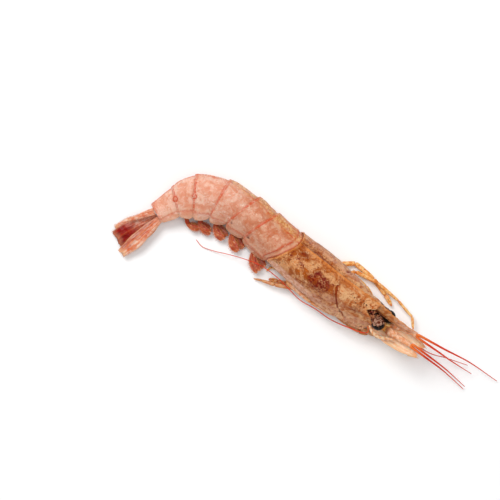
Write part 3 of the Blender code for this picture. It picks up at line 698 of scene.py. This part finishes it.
def make_segment(i, front, rear):
    """One segment of the abdomen."""
    rows = 46
    start = front + (0.2 if i else 0.25)
    end = rear - 0.1
    u = even(rows)
    s = start + (end - start) * u
    s = np.r_[start - 1.3, start - 0.6, s, end + 0.45, end + 0.7, end + 0.5, end - 1.6]
    u = np.pad(u, (2, 4), "edge")
    inset = np.r_[0.45, 0.2, np.zeros(rows), 0, 0.12, 0.32, 0.5][:, None]
    height, width, edge, depth = sizes_at(s)
    swell = 0.3 * (2 * ramp(0, 1, u) - 1)[:, None] - inset
    lobe = LOBES[i] * np.sqrt(np.maximum(0, 1 - (2 * u - 1) ** 2))[:, None]
    halves = []
    for hang in (lobe, lobe * 0.25):
        sizes = height + swell, width + swell, edge + swell * 0.5, depth + hang
        halves.append(half_section(*sizes, 1.3, 2.6 + hang, 2.3, (44, 30, 6, 10)))
    up, side, angle = whole_section(*halves)
    along, far = u[:, None], s[:, None]
    where = in_body(far, up, side)
    flank = 1 - ramp(128, 140, angle)
    # relief, in millimetres outwards
    relief = (0.2 * fractal(where, 7, 3, i * 2.7) + 0.045 * fractal(where, 1.4, 2)) * flank
    relief += 0.06 * bump(along, 0.96, 0.02) * flank - 0.1 * bump(along, 0.90, 0.03) * flank
    if i == 0:
        flange = ramp(1.6, 2.6, far) * (1 - bump(angle, 0, 3) * 0.5)
        relief += 0.32 * flange * flank + 0.15 * bump(far, 2.5, 0.5) * flank - 0.3 * flank
    else:
        relief -= 0.1 * bump(along, 0.14, 0.04) * flank * ramp(12, 40, angle)
    relief -= 0.25 * bump(angle, 104, 4) * bump(along, 0.93, 0.05)
    hinge = 0 * angle
    for edge_s, hinge_angle in ((front, HINGES.get(i)), (rear, HINGES.get(i + 1))):
        if hinge_angle:
            reach = np.hypot(far - edge_s, np.radians(angle - hinge_angle) * width)
            hinge = most(hinge, bump(reach, 1, 0.4) * (side > 0))
            relief += 0.25 * bump(reach, 0, 0.8) * (side > 0)
    crest = (0.35 if i > 2 else 0.12) * bump(side, 0, 0.8) * (up > 0)
    factor = 1 + relief / width
    neck = (1 - ramp(0, 0.6, along)) * neck_bow(angle) if i == 0 else 0 * angle
    rings = in_body(far, (up + crest) * factor, side * factor) + ahead_of(s)[:, None] * neck[..., None]
    wander = fractal(where, 3, 3, 1.7)
    joint = most(bump(along, 0.985, 0.022), 0.7 * bump(along, 0, 0.015)) * (0.85 + 0.35 * wander) * flank
    # red-orange rim on the far side of the back: partly pigment, partly painted shade toward the silhouette
    far_rim_and_shade = ramp(26, 40, angle) * (1 - ramp(50, 80, angle)) * (side < 0)
    crest_line = bump(side, 0, 0.4 if i < 3 else 0.9) * (up > 0) * (0.75 + 0.4 * wander)
    joint = most(joint, 0.55 * far_rim_and_shade, 0.8 * crest_line, 0.5 * bump(angle, 131, 4) * (side > 0), hinge)
    pale = most(0.7 * bump(angle, 124, 6), 0.8 * ramp(138, 150, angle))
    if i == 0:
        joint = most(joint, 0.8 * bump(far, 2.3, 0.35) * flank, 0.7 * bump(far, 0.2, 0.4) * flank)
        pale = most(pale, 0.7 * (1 - ramp(0.8, 2.2, far)) * flank)
    # band beyond the crest: partly the shell's own cream band, partly painted shade where the back turns away
    # from the light
    beyond_crest_band_and_shade = (side < 0) * ramp(2, 6, angle) * (1 - ramp(60, 90, angle))
    ridge = most(0.6 * bump(side, 0, 1.2) * (up > 0) * (i < 3), (0.95 - 0.15 * i) * beyond_crest_band_and_shade)
    bruise = 0
    if i in BRUISES:
        turn, width, at, length = BRUISES[i]
        bruise = ramp(0.45, 0.8, bump(angle, turn, width) * bump(along, at, length) + 0.2 * wander)
    tucked = 0.3 * (1 - ramp(0, 0.12, along)) * (i > 0) + inset
    p = Piece()
    hubs = in_body(start - 2.6, 0, 0), in_body(end - 3.2, 0, 0)
    p.loft(rings, layers(joint, ridge, bruise, pale), section_flow(s, up, side), hubs, tucked)
    p.look(f"abdomen_{i + 1}", SHELL, "shell")


# ---- head

EYES = {"right": (53.8, 0.9, 5.6), "left": (56.4, -2.6, -3.2)}
EYE_RADIUS = 3


def make_eye(name, t, up, across):
    """Round eye on a short stalk, with a broken black rim to the front and the belly."""
    root = in_body(-48.8, 1.2, math.copysign(2.2, across))
    ball = in_body(-t, up, across)
    along = unit(ball - root)
    length = np.linalg.norm(ball - root)
    run = np.linspace(0, length - 2.6, 16)
    stalk = 2.1 + 0.5 * ramp(0.3, 0.9, run / length)
    angle = np.radians(np.linspace(38, 178, 56))
    out = np.r_[run, length - EYE_RADIUS * np.cos(angle)]
    radii = np.r_[stalk, EYE_RADIUS * np.sin(angle)]
    path = root + along * out[:, None]
    ring, turn = round_path(path, 64)
    rings = path[:, None] + ring * radii[:, None, None]
    lumps = 0.09 * fractal(rings, 2.2, 3, 2) + 0.03 * fractal(rings, 0.6, 2)
    rings = rings + ring * lumps[..., None]
    way = unit(rings - ball)
    front = way @ (ahead_of(-t) * 0.75 - dorsal_of(-t) * 0.66)
    height = way[..., 2]
    rim = most(
        ramp(0.1, 0.3, front) * (1 - 0.7 * ramp(0.8, 0.98, height)),
        0.9 * ramp(0.7, 0.5, height) * ramp(-0.5, 0, front),
        name == "left",
    )
    rim = np.clip(rim + 0.35 * fractal(rings, 1.4, 3, 9) * ramp(-0.2, 0.3, front), 0, 1)
    stem = 1 - ramp(length - 3.2, length - 1.6, out)[:, None]
    p = Piece()
    p.loft(rings, layers(rim, stem, 0, 0), layers(out[:, None], turn, 0))
    p.look(f"eye_{name}", EYE, "eye")


def leaf(p, path, across, widths, thick, cup, ribs, rib, wave, fray, seed, half=13, pink=([0], [0]), red=0):
    """Thin blade with ribs, waves and a frayed end; pink is flesh across it, red how red its end is."""
    ahead = tangents(path)
    side = unit(across - ahead * (across * ahead).sum(1, keepdims=True))
    face = np.cross(side, ahead)
    face *= np.where(face[:, 2:] < 0, -1, 1)
    x = np.sin(np.linspace(-np.pi / 2, np.pi / 2, half))
    x = np.r_[x, x[-2:0:-1]]
    top = np.r_[np.ones(half), -np.ones(half - 2)]
    along = even(len(path))[:, None]
    w = widths[:, None]
    t = thick * np.minimum(1, 0.35 + w / w.max())
    lift = top * t / 2 * np.sqrt(np.maximum(0, 1 - x**2)) ** 0.7 + cup * w * x**2
    ribbed = sum(bump(x, r, 0.09) for r in ribs)
    lift = lift + ribbed * rib * np.where(top > 0, 1, -0.4) * (1 - 0.6 * along)
    spots = path[:, None] + side[:, None] * (x * w)[..., None]
    lift = lift + wave * fractal(spots, 3, 2, seed)
    rings = spots + face[:, None] * lift[..., None]
    slits = fractal(layers(x * w, 0, 0), 0.8, 3, seed + 4)
    rings += ahead[:, None] * (fray * slits * ramp(0.7, 1, along))[..., None]
    edge = most(ramp(0.8, 1, np.abs(x)), ramp(0.86, 1, along))
    root = 1 - ramp(0, 0.2, along)
    flesh = np.interp(x, *pink) * (1 - red * ramp(0.3, 0.7, along - 0.12 * x))
    mask = layers(ribbed * (1 - 0.75 * red), edge * (1 - 0.6 * red), root, flesh)
    p.loft(rings, mask, layers(along * len(path) * 0.4, x * w + 20, 0))
    return spots, side, ahead


def widths_along(widths, count):
    return np.interp(even(count), even(len(widths)), widths)


def fringe(p, roots, out, lean, length, radius=0.05, jitter=0.3):
    """Fine tapering hairs from roots, each in its own direction and with a slight droop."""
    for root, a, b in zip(roots, out, lean):
        way = unit(a + 0.6 * b + jitter * RNG.normal(size=3) * np.array([1, 1, 0.35]))
        size = length * (0.7 + 0.5 * RNG.random())
        k = even(4)[:, None]
        path = root + way * size * k + np.array([0, 0, -0.12 * size]) * k**2
        p.tube(path, radius * (1 - 0.8 * k[:, 0]), 3)


def edge_hairs(p, blade, which, span, count, length):
    """Hairs along part of an edge of a blade."""
    spots, side, ahead = blade
    k = np.linspace(span[0] * (len(spots) - 1), span[1] * (len(spots) - 1), count).astype(int)
    column = spots.shape[1] // 2 if which > 0 else 0
    fringe(p, spots[k, column], side[k] * which, ahead[k], length)


def tip_hairs(p, blade, columns, lean, *sizes):
    spots, side, ahead = blade
    last = [len(spots) - 1] * len(columns)
    fringe(p, spots[last, columns], ahead[last], side[last] * lean, *sizes)


def course(place, route, steps, count):
    """Even course through points (t, and two more), put by in_body or on_table."""
    return resample(curve_through([place(-t, a, b) for t, a, b in route], steps), count)


SCALE_WIDTHS = [1.3, 2.2, 2.8, 3.2, 3.3, 3.2, 3, 2.5, 1.8, 0.7]
SCALES = {  # outer side, middle line, rim of the antenna's base
    "right": (
        1,
        [(52.6, -6.8, 3.6), (59, -6.8, 3.8), (68, -6, 3.9), (76.5, -4.6, 3.8)],
        [(51.2, -4.6, 5.4), (54, -5.6, 6.6), (57.5, -5.4, 6.9), (61, -4.4, 5.9), (64, -3.6, 4.6)],
    ),
    "left": (
        -1,
        [(52.6, -6.8, -4.6), (59, -7, -4.9), (68, -6.8, -4.4), (77.5, -7.2, -3.6)],
        [(51.2, -6.4, -5.4), (54, -7, -6.2), (57.5, -7.2, -6.6)],
    ),
}


def make_antennal_scales():
    hairs = Piece()
    rows = 60
    for name, (outer, line, rim) in SCALES.items():
        across = in_body(-60, 0, 1) - in_body(-60, 0, 0)
        widths = widths_along(SCALE_WIDTHS, rows)
        p = Piece()
        ribs = (0.82 * outer, 0.3 * outer)
        path = course(in_body, line, 12, rows)
        blade = leaf(p, path, across, widths, 0.7, 0.06, ribs, 0.35, 0.12, 0.4, outer)
        spots, _, ahead = blade
        edge = 12 if outer > 0 else 0
        spine = curve_through([spots[50, edge], spots[-1, edge] + ahead[-1] * 1.2], 5)
        p.tube(spine, np.linspace(0.4, 0.08, 6), 8, mask=np.tile([1, 0, 0, 0], (6, 1)))
        k = even(30)
        base = np.tile([0, 0, 1, 0], (30, 1))
        p.tube(course(in_body, rim, 8, 30), 0.3 + 0.6 * np.sin(np.pi * k) ** 0.7, 20, 0.8, base, 0.03)
        edge_hairs(hairs, blade, -outer, (0.35, 1), 60, 1.5)
        tip_hairs(hairs, blade, [10, 8, 6, 4, 2], 0.3, 1.6)
        p.look(f"antennal_scale_{name}", SCALE, "limb")
    hairs.make("antennal_scale_hairs", HAIR, "limb")


ANTENNULES = {  # each point: t, up, side, radius
    "right": [
        (50.6, -4.6, 1.9, 1), (57.6, -4.6, 2.3, 1), (59.8, -4.1, 2.3, 1.7), (63.5, -3.6, 2.3, 1.6),
        (64.2, -3.5, 2.4, 1.3), (67.5, -3, 2.5, 1.3), (71.8, -2.4, 2.7, 0.9),
    ],
    "left": [
        (50.6, -6.4, -0.5, 0.9), (57.6, -5.6, -0.5, 0.9), (60.4, -5, -2.2, 1.3), (63.5, -4.4, -3.2, 1.5),
        (64.2, -4.1, -3.3, 1.3), (67.5, -3.2, -3.5, 1.3), (71.8, -2.4, -3.7, 0.9),
    ],
}
FLAGELLA = {  # each point: t, n, z
    "antennule_flagellum_left_1": [(72.6, 2.6, 13.6), (85.5, 4.4, 11.4), (98.5, 6.6, 6.6), (114, 7.4, 1.2)],
    "antennule_flagellum_left_2": [(72.6, 1.4, 13), (83.5, 1.8, 11), (91, 2.1, 8), (102.5, 3.2, 2.2)],
    "antennule_flagellum_right_1": [
        (72.6, -2.7, 17.2), (80, -2.6, 15.2), (91, -2.5, 9.8), (103.4, -3.3, 2.2),
    ],
    "antennule_flagellum_right_2": [(72.6, -3.9, 16.4), (80, -3.8, 13.8), (91, -3.6, 7.8), (103.8, -4.5, 1)],
}


def segment(p, a, b, r0, r1, sides, swell, flat=1, pale=0, dark=0):
    """One joint of a limb, slightly swollen, redder at its rounded ends."""
    k = np.r_[0, 0.005, np.linspace(0.02, 0.98, 18), 0.995, 1]
    ends = np.sqrt(np.clip(1.02 - np.abs(2 * k - 1) ** 14, 0, 1)) * 0.8 + 0.2
    radii = (r0 + (r1 - r0) * k) * ends * (1 + swell * np.sin(np.pi * k))
    joint = 0.6 * most(bump(k, 0, 0.07), bump(k, 1, 0.07))
    mask = layers(joint, 0, dark, pale * np.sin(np.pi * k) ** 0.5)
    p.tube(a + (b - a) * k[:, None], radii, sides, flat, mask, 0.08)


def make_antennules():
    steps = 14
    for name, joints in ANTENNULES.items():
        rows = curve_through([np.append(in_body(-t, up, across), r) for t, up, across, r in joints], steps)
        k = even(len(rows))
        run = run_along(rows[:, :3])
        girth = rows[:, 3] * (1 - 0.5 * bump(k, 0, 0.02) - 0.5 * bump(k, 1, 0.02))
        ring = sum(bump(run, at, 0.35) for at in run[[steps * 3 + 7, steps * 5]])
        dark = 0.7 * bump(run, run[steps * 2] - 0.6, 0.9)
        p = Piece()
        mask = layers(0.35 * ring, 0, dark, 0.85 * ramp(0.2, 0.4, k))
        p.tube(rows[:, :3], girth * (1 - 0.07 * ring), 24, 0.88, mask, 0.02)
        p.look(f"antennule_{name}", LIMB, "limb")
    count = 110
    k = even(count)
    rings = 0.03 * np.sin(np.arange(count) * 2.1)
    for name, route in FLAGELLA.items():
        t, up, across, _ = ANTENNULES["left" if "left" in name else "right"][-1]
        spots = [in_body(-t, up, across)] + [on_table(-t, n, z) for t, n, z in route]
        p = Piece()
        radii = 0.5 * (1 - k) ** 1.3 + 0.16 + rings * (1 - k)
        mask = layers(1 - ramp(0, 0.3, k), 0, 0, 0)
        p.tube(resample(curve_through(spots, steps), count), radii, 10, mask=mask)
        p.look(name, FEELER, "feeler")


ANTENNAE = {  # rows, root radius, then each point: t, n, z
    "right": (260, 0.27, [
        (49.6, -6.4, 13.4), (51, -7.4, 12.8), (52.8, -9.3, 10.7), (51.6, -10.9, 9.6), (46, -12.6, 8.4),
        (36.4, -14.6, 6.4), (27.6, -14.8, 5.4), (20, -15.6, 5.8), (13, -14.6, 6.6), (6, -13.6, 6.4),
        (-2, -14, 5.8), (-9, -16.4, 4.8), (-18, -20, 2.6), (-28, -22.4, 0.9), (-40, -22.6, 0.6),
        (-54, -19.5, 0.6),
    ]),
    "left": (130, 0.34, [
        (48.6, 1, 10.6), (49.7, 0.3, 10.1), (52.6, -1.8, 7.8), (60, -1.8, 7), (79.5, -0.9, 6.6),
        (89, 2.2, 4.4), (99, 5.4, 1.4),
    ]),
}


def make_antennae():
    for name, (count, root, route) in ANTENNAE.items():
        path = course(on_table, route, 14, count)
        k = even(count)
        run = run_along(path)
        radii = root * (1 - k) + 0.14 * k + 0.015 * np.sin(np.arange(count) * 2.3)
        radii += 0.55 * ramp(4.5, 0.5, run)
        p = Piece()
        p.tube(path, radii, 9, mask=layers(0.9 * ramp(8, 2, run), 0, 0, 0))
        p.look(f"antenna_{name}", FEELER, "feeler")


# ---- limbs

LEGS = {  # root's t, then each point: t, n, z, radius
    "maxilliped_right": (43, (49, -7, 5.6, 1.2), (56, -5.4, 4.6, 1), (64, -3.8, 4, 0.6)),
    "maxilliped_left": (43, (49, -3.2, 3.4, 1.1), (56, -1, 3, 1), (63, 1.4, 2.2, 0.6)),
    "pereopod_1_right": (37, (41, -9.2, 4.6, 1.2), (50, -9.6, 3, 1), (57, -8, 2.2, 1.1), (61, -7, 1.8, 0.4)),
    "pereopod_2_right": (
        30, (33, -10.4, 3.8, 1.2), (43, -11.6, 1.6, 1), (50, -11, 1.2, 1.1), (54, -9.8, 1, 0.4),
    ),
    "pereopod_3_right": (
        24, (21, -9.6, 2.8, 1.1), (13, -12, 1.3, 0.9), (7, -14.6, 1.3, 1), (3.5, -16.4, 1, 0.4),
    ),
    "pereopod_4_right": (
        17, (16, -11.8, 4.3, 1.1), (7, -16.8, 3.4, 0.9), (1.5, -19, 2.2, 0.6), (-1.5, -20.6, 0.9, 0.3),
    ),
    "pereopod_5_right": (
        10, (10.4, -12.4, 6.5, 1.1), (24.3, -13.4, 6.6, 0.9), (33.1, -12.8, 6.4, 0.7),
        (41, -10.8, 6.6, 0.3),
    ),
    "pereopod_1_left": (
        37, (37.5, -1.8, 1.4, 0.9), (35, 5, 1.2, 0.9), (35.2, 8, 1.1, 0.8), (40.5, 7.2, 1.1, 1),
        (46.1, 5.4, 1, 0.4),
    ),
    "pereopod_2_left": (
        30.5, (30.5, -2, 1.2, 0.9), (28.6, 5, 1.1, 0.9), (32.9, 10, 2.6, 0.9), (43.7, 11.7, 3.7, 0.8),
        (56.3, 10.6, 3.3, 0.6), (65.8, 8.3, 2.8, 0.6), (69.4, 3.9, 3.4, 0.3),
    ),
    "pereopod_3_left": (
        24.5, (24.5, -2, 1, 0.8), (23, 7, 1.1, 1), (30.5, 13.2, 1.6, 1.1), (41.6, 12.2, 1.4, 1),
        (50.3, 9.5, 1.4, 1), (55.4, 7, 1.6, 0.4),
    ),
    "pereopod_4_left": (
        18, (14, -5.4, 1.4, 1), (6, -9, 1, 0.8), (1, -11.4, 0.9, 0.5), (0.5, -14.2, 0.6, 0.3),
    ),
    "pereopod_5_left": (
        11.5, (7.5, -3.8, 1.4, 1), (2, -5.4, 1, 0.8), (-2, -7.4, 0.8, 0.5), (-3.6, -8.4, 0.6, 0.3),
    ),
}
CLAWED = ("pereopod_1", "pereopod_2", "pereopod_3")
LEG_ROOT_RISE = 0.3
LEG_ROOT_SIDE = 3
LEG_ROOT_RADIUS = 1.2
BREAST_RISE = 2.2


def leg_hairs(p, a, b, start, count, out, *sizes):
    """Hairs on one side of a joint of a leg."""
    spots = a + (b - a) * np.linspace(start, 0.95, count)[:, None]
    fringe(p, spots, [out] * count, [unit(b - a)] * count, *sizes)


def make_legs():
    hairs = Piece()
    for name, (root_t, *knees) in LEGS.items():
        sign = 1 if name.endswith("right") else -1
        belly = -track(DEPTH, -root_t)
        root = in_body(-root_t, LEG_ROOT_RISE + belly, LEG_ROOT_SIDE * sign)
        breast = in_body(-root_t, belly + BREAST_RISE, 2.2 * sign)
        places = [root] + [on_table(-t, n, z) for t, n, z, _ in knees]
        thick = [LEG_ROOT_RADIUS] + [radius for *_, radius in knees]
        pale = 0.9 if name == "pereopod_5_right" else 0.12 if sign < 0 else 0.4
        dark = 0.45 if sign > 0 and name not in ("pereopod_5_right", "maxilliped_right") else 0
        p = Piece()
        segment(p, breast, root + (root - breast) * 0.15, 1.7, 1.35, 16, 0.1, pale=0.5)
        last = len(knees) - 1
        for k, (a, b, r0, r1) in enumerate(zip(places, places[1:], thick, thick[1:])):
            if k == last and name[:10] in CLAWED:
                add_claw(p, a, b, r0, dark)
            else:
                segment(p, a, b, r0, max(r1, 0.2), 12, 0.1, 0.85, pale, dark)
        p.look(name, LIMB, "limb")
        out = -dorsal_of(-root_t)
        if name.startswith("maxilliped"):
            for a, b in zip(places[1:], places[2:]):
                leg_hairs(hairs, a, b, 0.05, 40, out, 1.8, 0.045)
        elif sign > 0:
            leg_hairs(hairs, *places[-3:-1], 0.1, 12, out, 1, 0.04)
    hairs.make("leg_hairs", HAIR, "limb")


def add_claw(p, a, b, radius, dark):
    """Small pincer: a palm and two slender fingers."""
    ahead = unit(b - a)
    split = a + (b - a) * 0.42
    segment(p, a, split, radius, radius * 0.95, 14, 0.15, 0.8, 0.3, dark)
    across = unit(np.cross(ahead, [0, 0, 1]))
    for sign, bend in ((1, 0.5), (-1, 0.42)):
        start = split + across * sign * radius * 0.42 - ahead * 0.3
        middle = (split + b) / 2 + across * sign * radius * bend * 0.95
        points = curve_through([start, middle, b + across * sign * 0.12], 6)
        k = even(len(points))
        mask = layers(ramp(0.5, 1, k), 0, dark, 0)
        p.tube(points, radius * 0.5 * (1 - k) ** 0.7 + 0.1, 10, mask=mask)


PADDLE_COURSE = [(0, 0, 0), (1.2, 3.2, 0.45), (0.4, 5.8, 0.65), (-2.6, 8.2, 0.85), (-6.4, 10.2, 1)]
PADDLE_WIDTHS = [1.1, 1.4, 1.8, 2.1, 2.2, 2, 1.5, 0.6]
# outer and inner blade: lean to the back, ahead and up, turn, width
PADDLE_BLADES = [(-0.5, -0.3, -0.1, 0.5, 0.95), (0.9, 0.4, 0.45, 0.3, 0.62)]


def make_pleopod(hairs, i, name, sign, end_z):
    """Swimming leg: a thick root joint, then an outer and an inner blade with hairs."""
    middle = (JOINTS[i] + JOINTS[i + 1]) / 2
    size = 1 - 0.08 * i
    rows = 40
    belly = -track(DEPTH, middle)
    root = in_body(middle, belly - 0.8, sign * 2 * size)
    ahead, dorsal = ahead_of(middle), dorsal_of(middle)
    places = []
    for back, out, drop in PADDLE_COURSE:
        places.append(root - ahead * back * size - dorsal * out * size)
        places[-1][2] = root[2] + (end_z - root[2]) * drop
    path = curve_through(places, 10)
    p = Piece()
    inside = in_body(middle, belly + 1.6, sign * 1.6 * size)
    segment(p, inside, path[8], 1.7 * size, 1.35 * size, 16, 0.1, 0.8, 0.3)
    segment(p, path[6], path[17], 1.35 * size, 1.1 * size, 16, 0.15, 0.7, 0.3)
    for inner, (back, forward, rise, turn, wide) in enumerate(PADDLE_BLADES):
        line = resample(path[15:], rows).copy()
        k = even(rows)[:, None]
        line += (dorsal * back + ahead * forward) * k * size
        line[:, 2] += rise * k[:, 0]
        shape = widths_along(PADDLE_WIDTHS, rows) * size * wide
        across = ahead * turn + dorsal * 0.9
        blade = leaf(p, line, across, shape, 0.5, 0.12, (0,), 0.2, 0.1, 0.4, i + inner, 9)
        for edge in (1, -1):
            edge_hairs(hairs, blade, edge, (0.3, 1), 26, 1.3 * size)
    p.look(f"pleopod_{i + 1}_{name}", SWIMMERET, "swimmeret")


def make_pleopods():
    hairs = Piece()
    for i in range(5):
        make_pleopod(hairs, i, "right", 1, 2.6)
        make_pleopod(hairs, i, "left", -1, 0.7)
    hairs.make("pleopod_hairs", HAIR, "swimmeret")


# ---- tail

TAIL = {  # points (s after the last joint, n, z), half widths, thickness, pink across the blade
    "telson": (
        [(0.6, 1.4, 5.3), (4.5, 2.8, 5.8), (8.5, 4.3, 5.5), (12.2, 5.7, 4.8)], [1.7, 1.5, 1.1, 0.4], 1.5,
        ([0], [0.9]),
    ),
    "uropod_outer_right": (
        [(0.8, -2.8, 4.3), (8, -3.2, 4.9), (16, -3.6, 4.3), (24, -3.5, 3)], [1.6, 2.6, 3.3, 2], 0.75,
        ([-1, -0.2, 0.2, 1], [0.95, 0.9, 0.55, 0.45]),
    ),
    "uropod_inner_right": (
        [(1, -0.8, 2.9), (8, 0.4, 3.3), (15, 2, 2.7), (21.6, 3.1, 1.8)], [1.1, 2.9, 4.3, 3.9], 0.675,
        ([0], [0.7]),
    ),
    # the two lower blades take pale flesh all across at full strength: their own pink, raised as painted
    # light against the shade they lie in
    "uropod_inner_left": (
        [(0.9, 0.8, 1.7), (8, 3, 1.9), (14, 5, 1.4), (18.8, 6.9, 0.8)], [1, 2.2, 3, 1.8], 0.6, ([0], [0.95]),
    ),
    "uropod_outer_left": (
        [(1, -3, 0.9), (8, -3.6, 0.7), (15, -2.6, 0.6), (21, -1.8, 0.5)], [1, 2.2, 2.9, 1.6], 0.6, ([0], [1]),
    ),
}


def make_tail():
    hairs = Piece()
    root = JOINTS[-1]
    across = dorsal_of(root + 10)
    rows, half = 80, 23
    for i, (name, (route, widths, thick, pink)) in enumerate(TAIL.items()):
        path = resample(curve_through([on_table(root + s, n, z) for s, n, z in route], 10), rows)
        shape = np.convolve(np.pad(widths_along(widths, rows), 6, "edge"), np.ones(13) / 13, "valid")
        p = Piece()
        if name == "telson":
            leaf(p, path, across, shape, thick, 0, (-0.3, 0.3), 0.3, 0.1, 0, 2, 19, pink)
        else:
            ribs = (-0.45, 0.25) if "outer" in name else (0,)
            red = 1 if name == "uropod_inner_right" else 0
            blade = leaf(p, path, across, shape, thick, -0.05, ribs, 0.4, 0.3, 0.7, i, half, pink, red)
            edge_hairs(hairs, blade, 1, (0.35, 1), 60, 0.7)
            edge_hairs(hairs, blade, -1, (0.5, 1), 40, 0.7)
            tip_hairs(hairs, blade, np.arange(1, half - 1), 0.1, 0.8, 0.06, 0.2)
        p.look(name, TAIL_LOOK, "tail")
    hairs.make("tail_hairs", HAIR, "tail")


make_carapace()
for number, joints in enumerate(zip(JOINTS, JOINTS[1:])):
    make_segment(number, *joints)
for name, place in EYES.items():
    make_eye(name, *place)
make_antennal_scales()
make_antennules()
make_antennae()
make_legs()
make_pleopods()
make_tail()

# ---- floor, light, camera

FLOOR_DROP = 0.0002
IMAGE = 500
SENSOR = 36
ELEVATION = math.radians(86)
DISTANCE = 636
PIXELS_PER_MM = 2.18
CENTRE_PIXEL = (304, 282.4)


def area_light(name, place, size, power):
    """Square light aimed at the middle of the floor."""
    data = bpy.data.lights.new(name, "AREA")
    data.size = size
    data.energy = power
    light = add_object(name, data)
    light.location = place
    light.rotation_euler = (-Vector(place)).to_track_quat("-Z", "Y").to_euler()


mesh = bpy.data.meshes.new("floor")
e = 1.2  # half the side, in metres
mesh.from_pydata([(-e, -e, 0), (e, -e, 0), (e, e, 0), (-e, e, 0)], [], [(0, 1, 2, 3)])
floor = add_object("floor", mesh)
floor.location.z = -FLOOR_DROP
mesh.materials.append(Shader("pale_floor", Roughness=0.6, Base_Color=FLOOR_WHITE).material)

world = bpy.data.worlds.new("studio")
world.use_nodes = True
inputs = world.node_tree.nodes["Background"].inputs
inputs["Color"].default_value = (1, 1, 1, 1)
inputs["Strength"].default_value = 0.42
bpy.context.scene.world = world
area_light("key", (-0.35, 0.45, 0.7), 0.45, 5)
area_light("fill", (0.5, -0.5, 0.6), 0.8, 2)
area_light("top", (0.05, 0, 0.9), 0.3, 1.4)

data = bpy.data.cameras.new("camera")
data.sensor_width = SENSOR
data.lens = SENSOR * DISTANCE / (IMAGE / PIXELS_PER_MM)
data.clip_start = 0.01
camera = add_object("camera", data)
up = np.array([0, math.sin(ELEVATION), math.cos(ELEVATION)])
back = np.array([0, -math.cos(ELEVATION), math.sin(ELEVATION)])
right, rise = (IMAGE / 2 - CENTRE_PIXEL[0]) / PIXELS_PER_MM, (CENTRE_PIXEL[1] - IMAGE / 2) / PIXELS_PER_MM
place = np.array([right, 0, 0]) + up * rise + back * DISTANCE
camera.location = (place * MM).tolist()
camera.rotation_euler = (math.pi / 2 - ELEVATION, 0, 0)
bpy.context.scene.camera = camera
bpy.context.scene.view_settings.view_transform = "Standard"
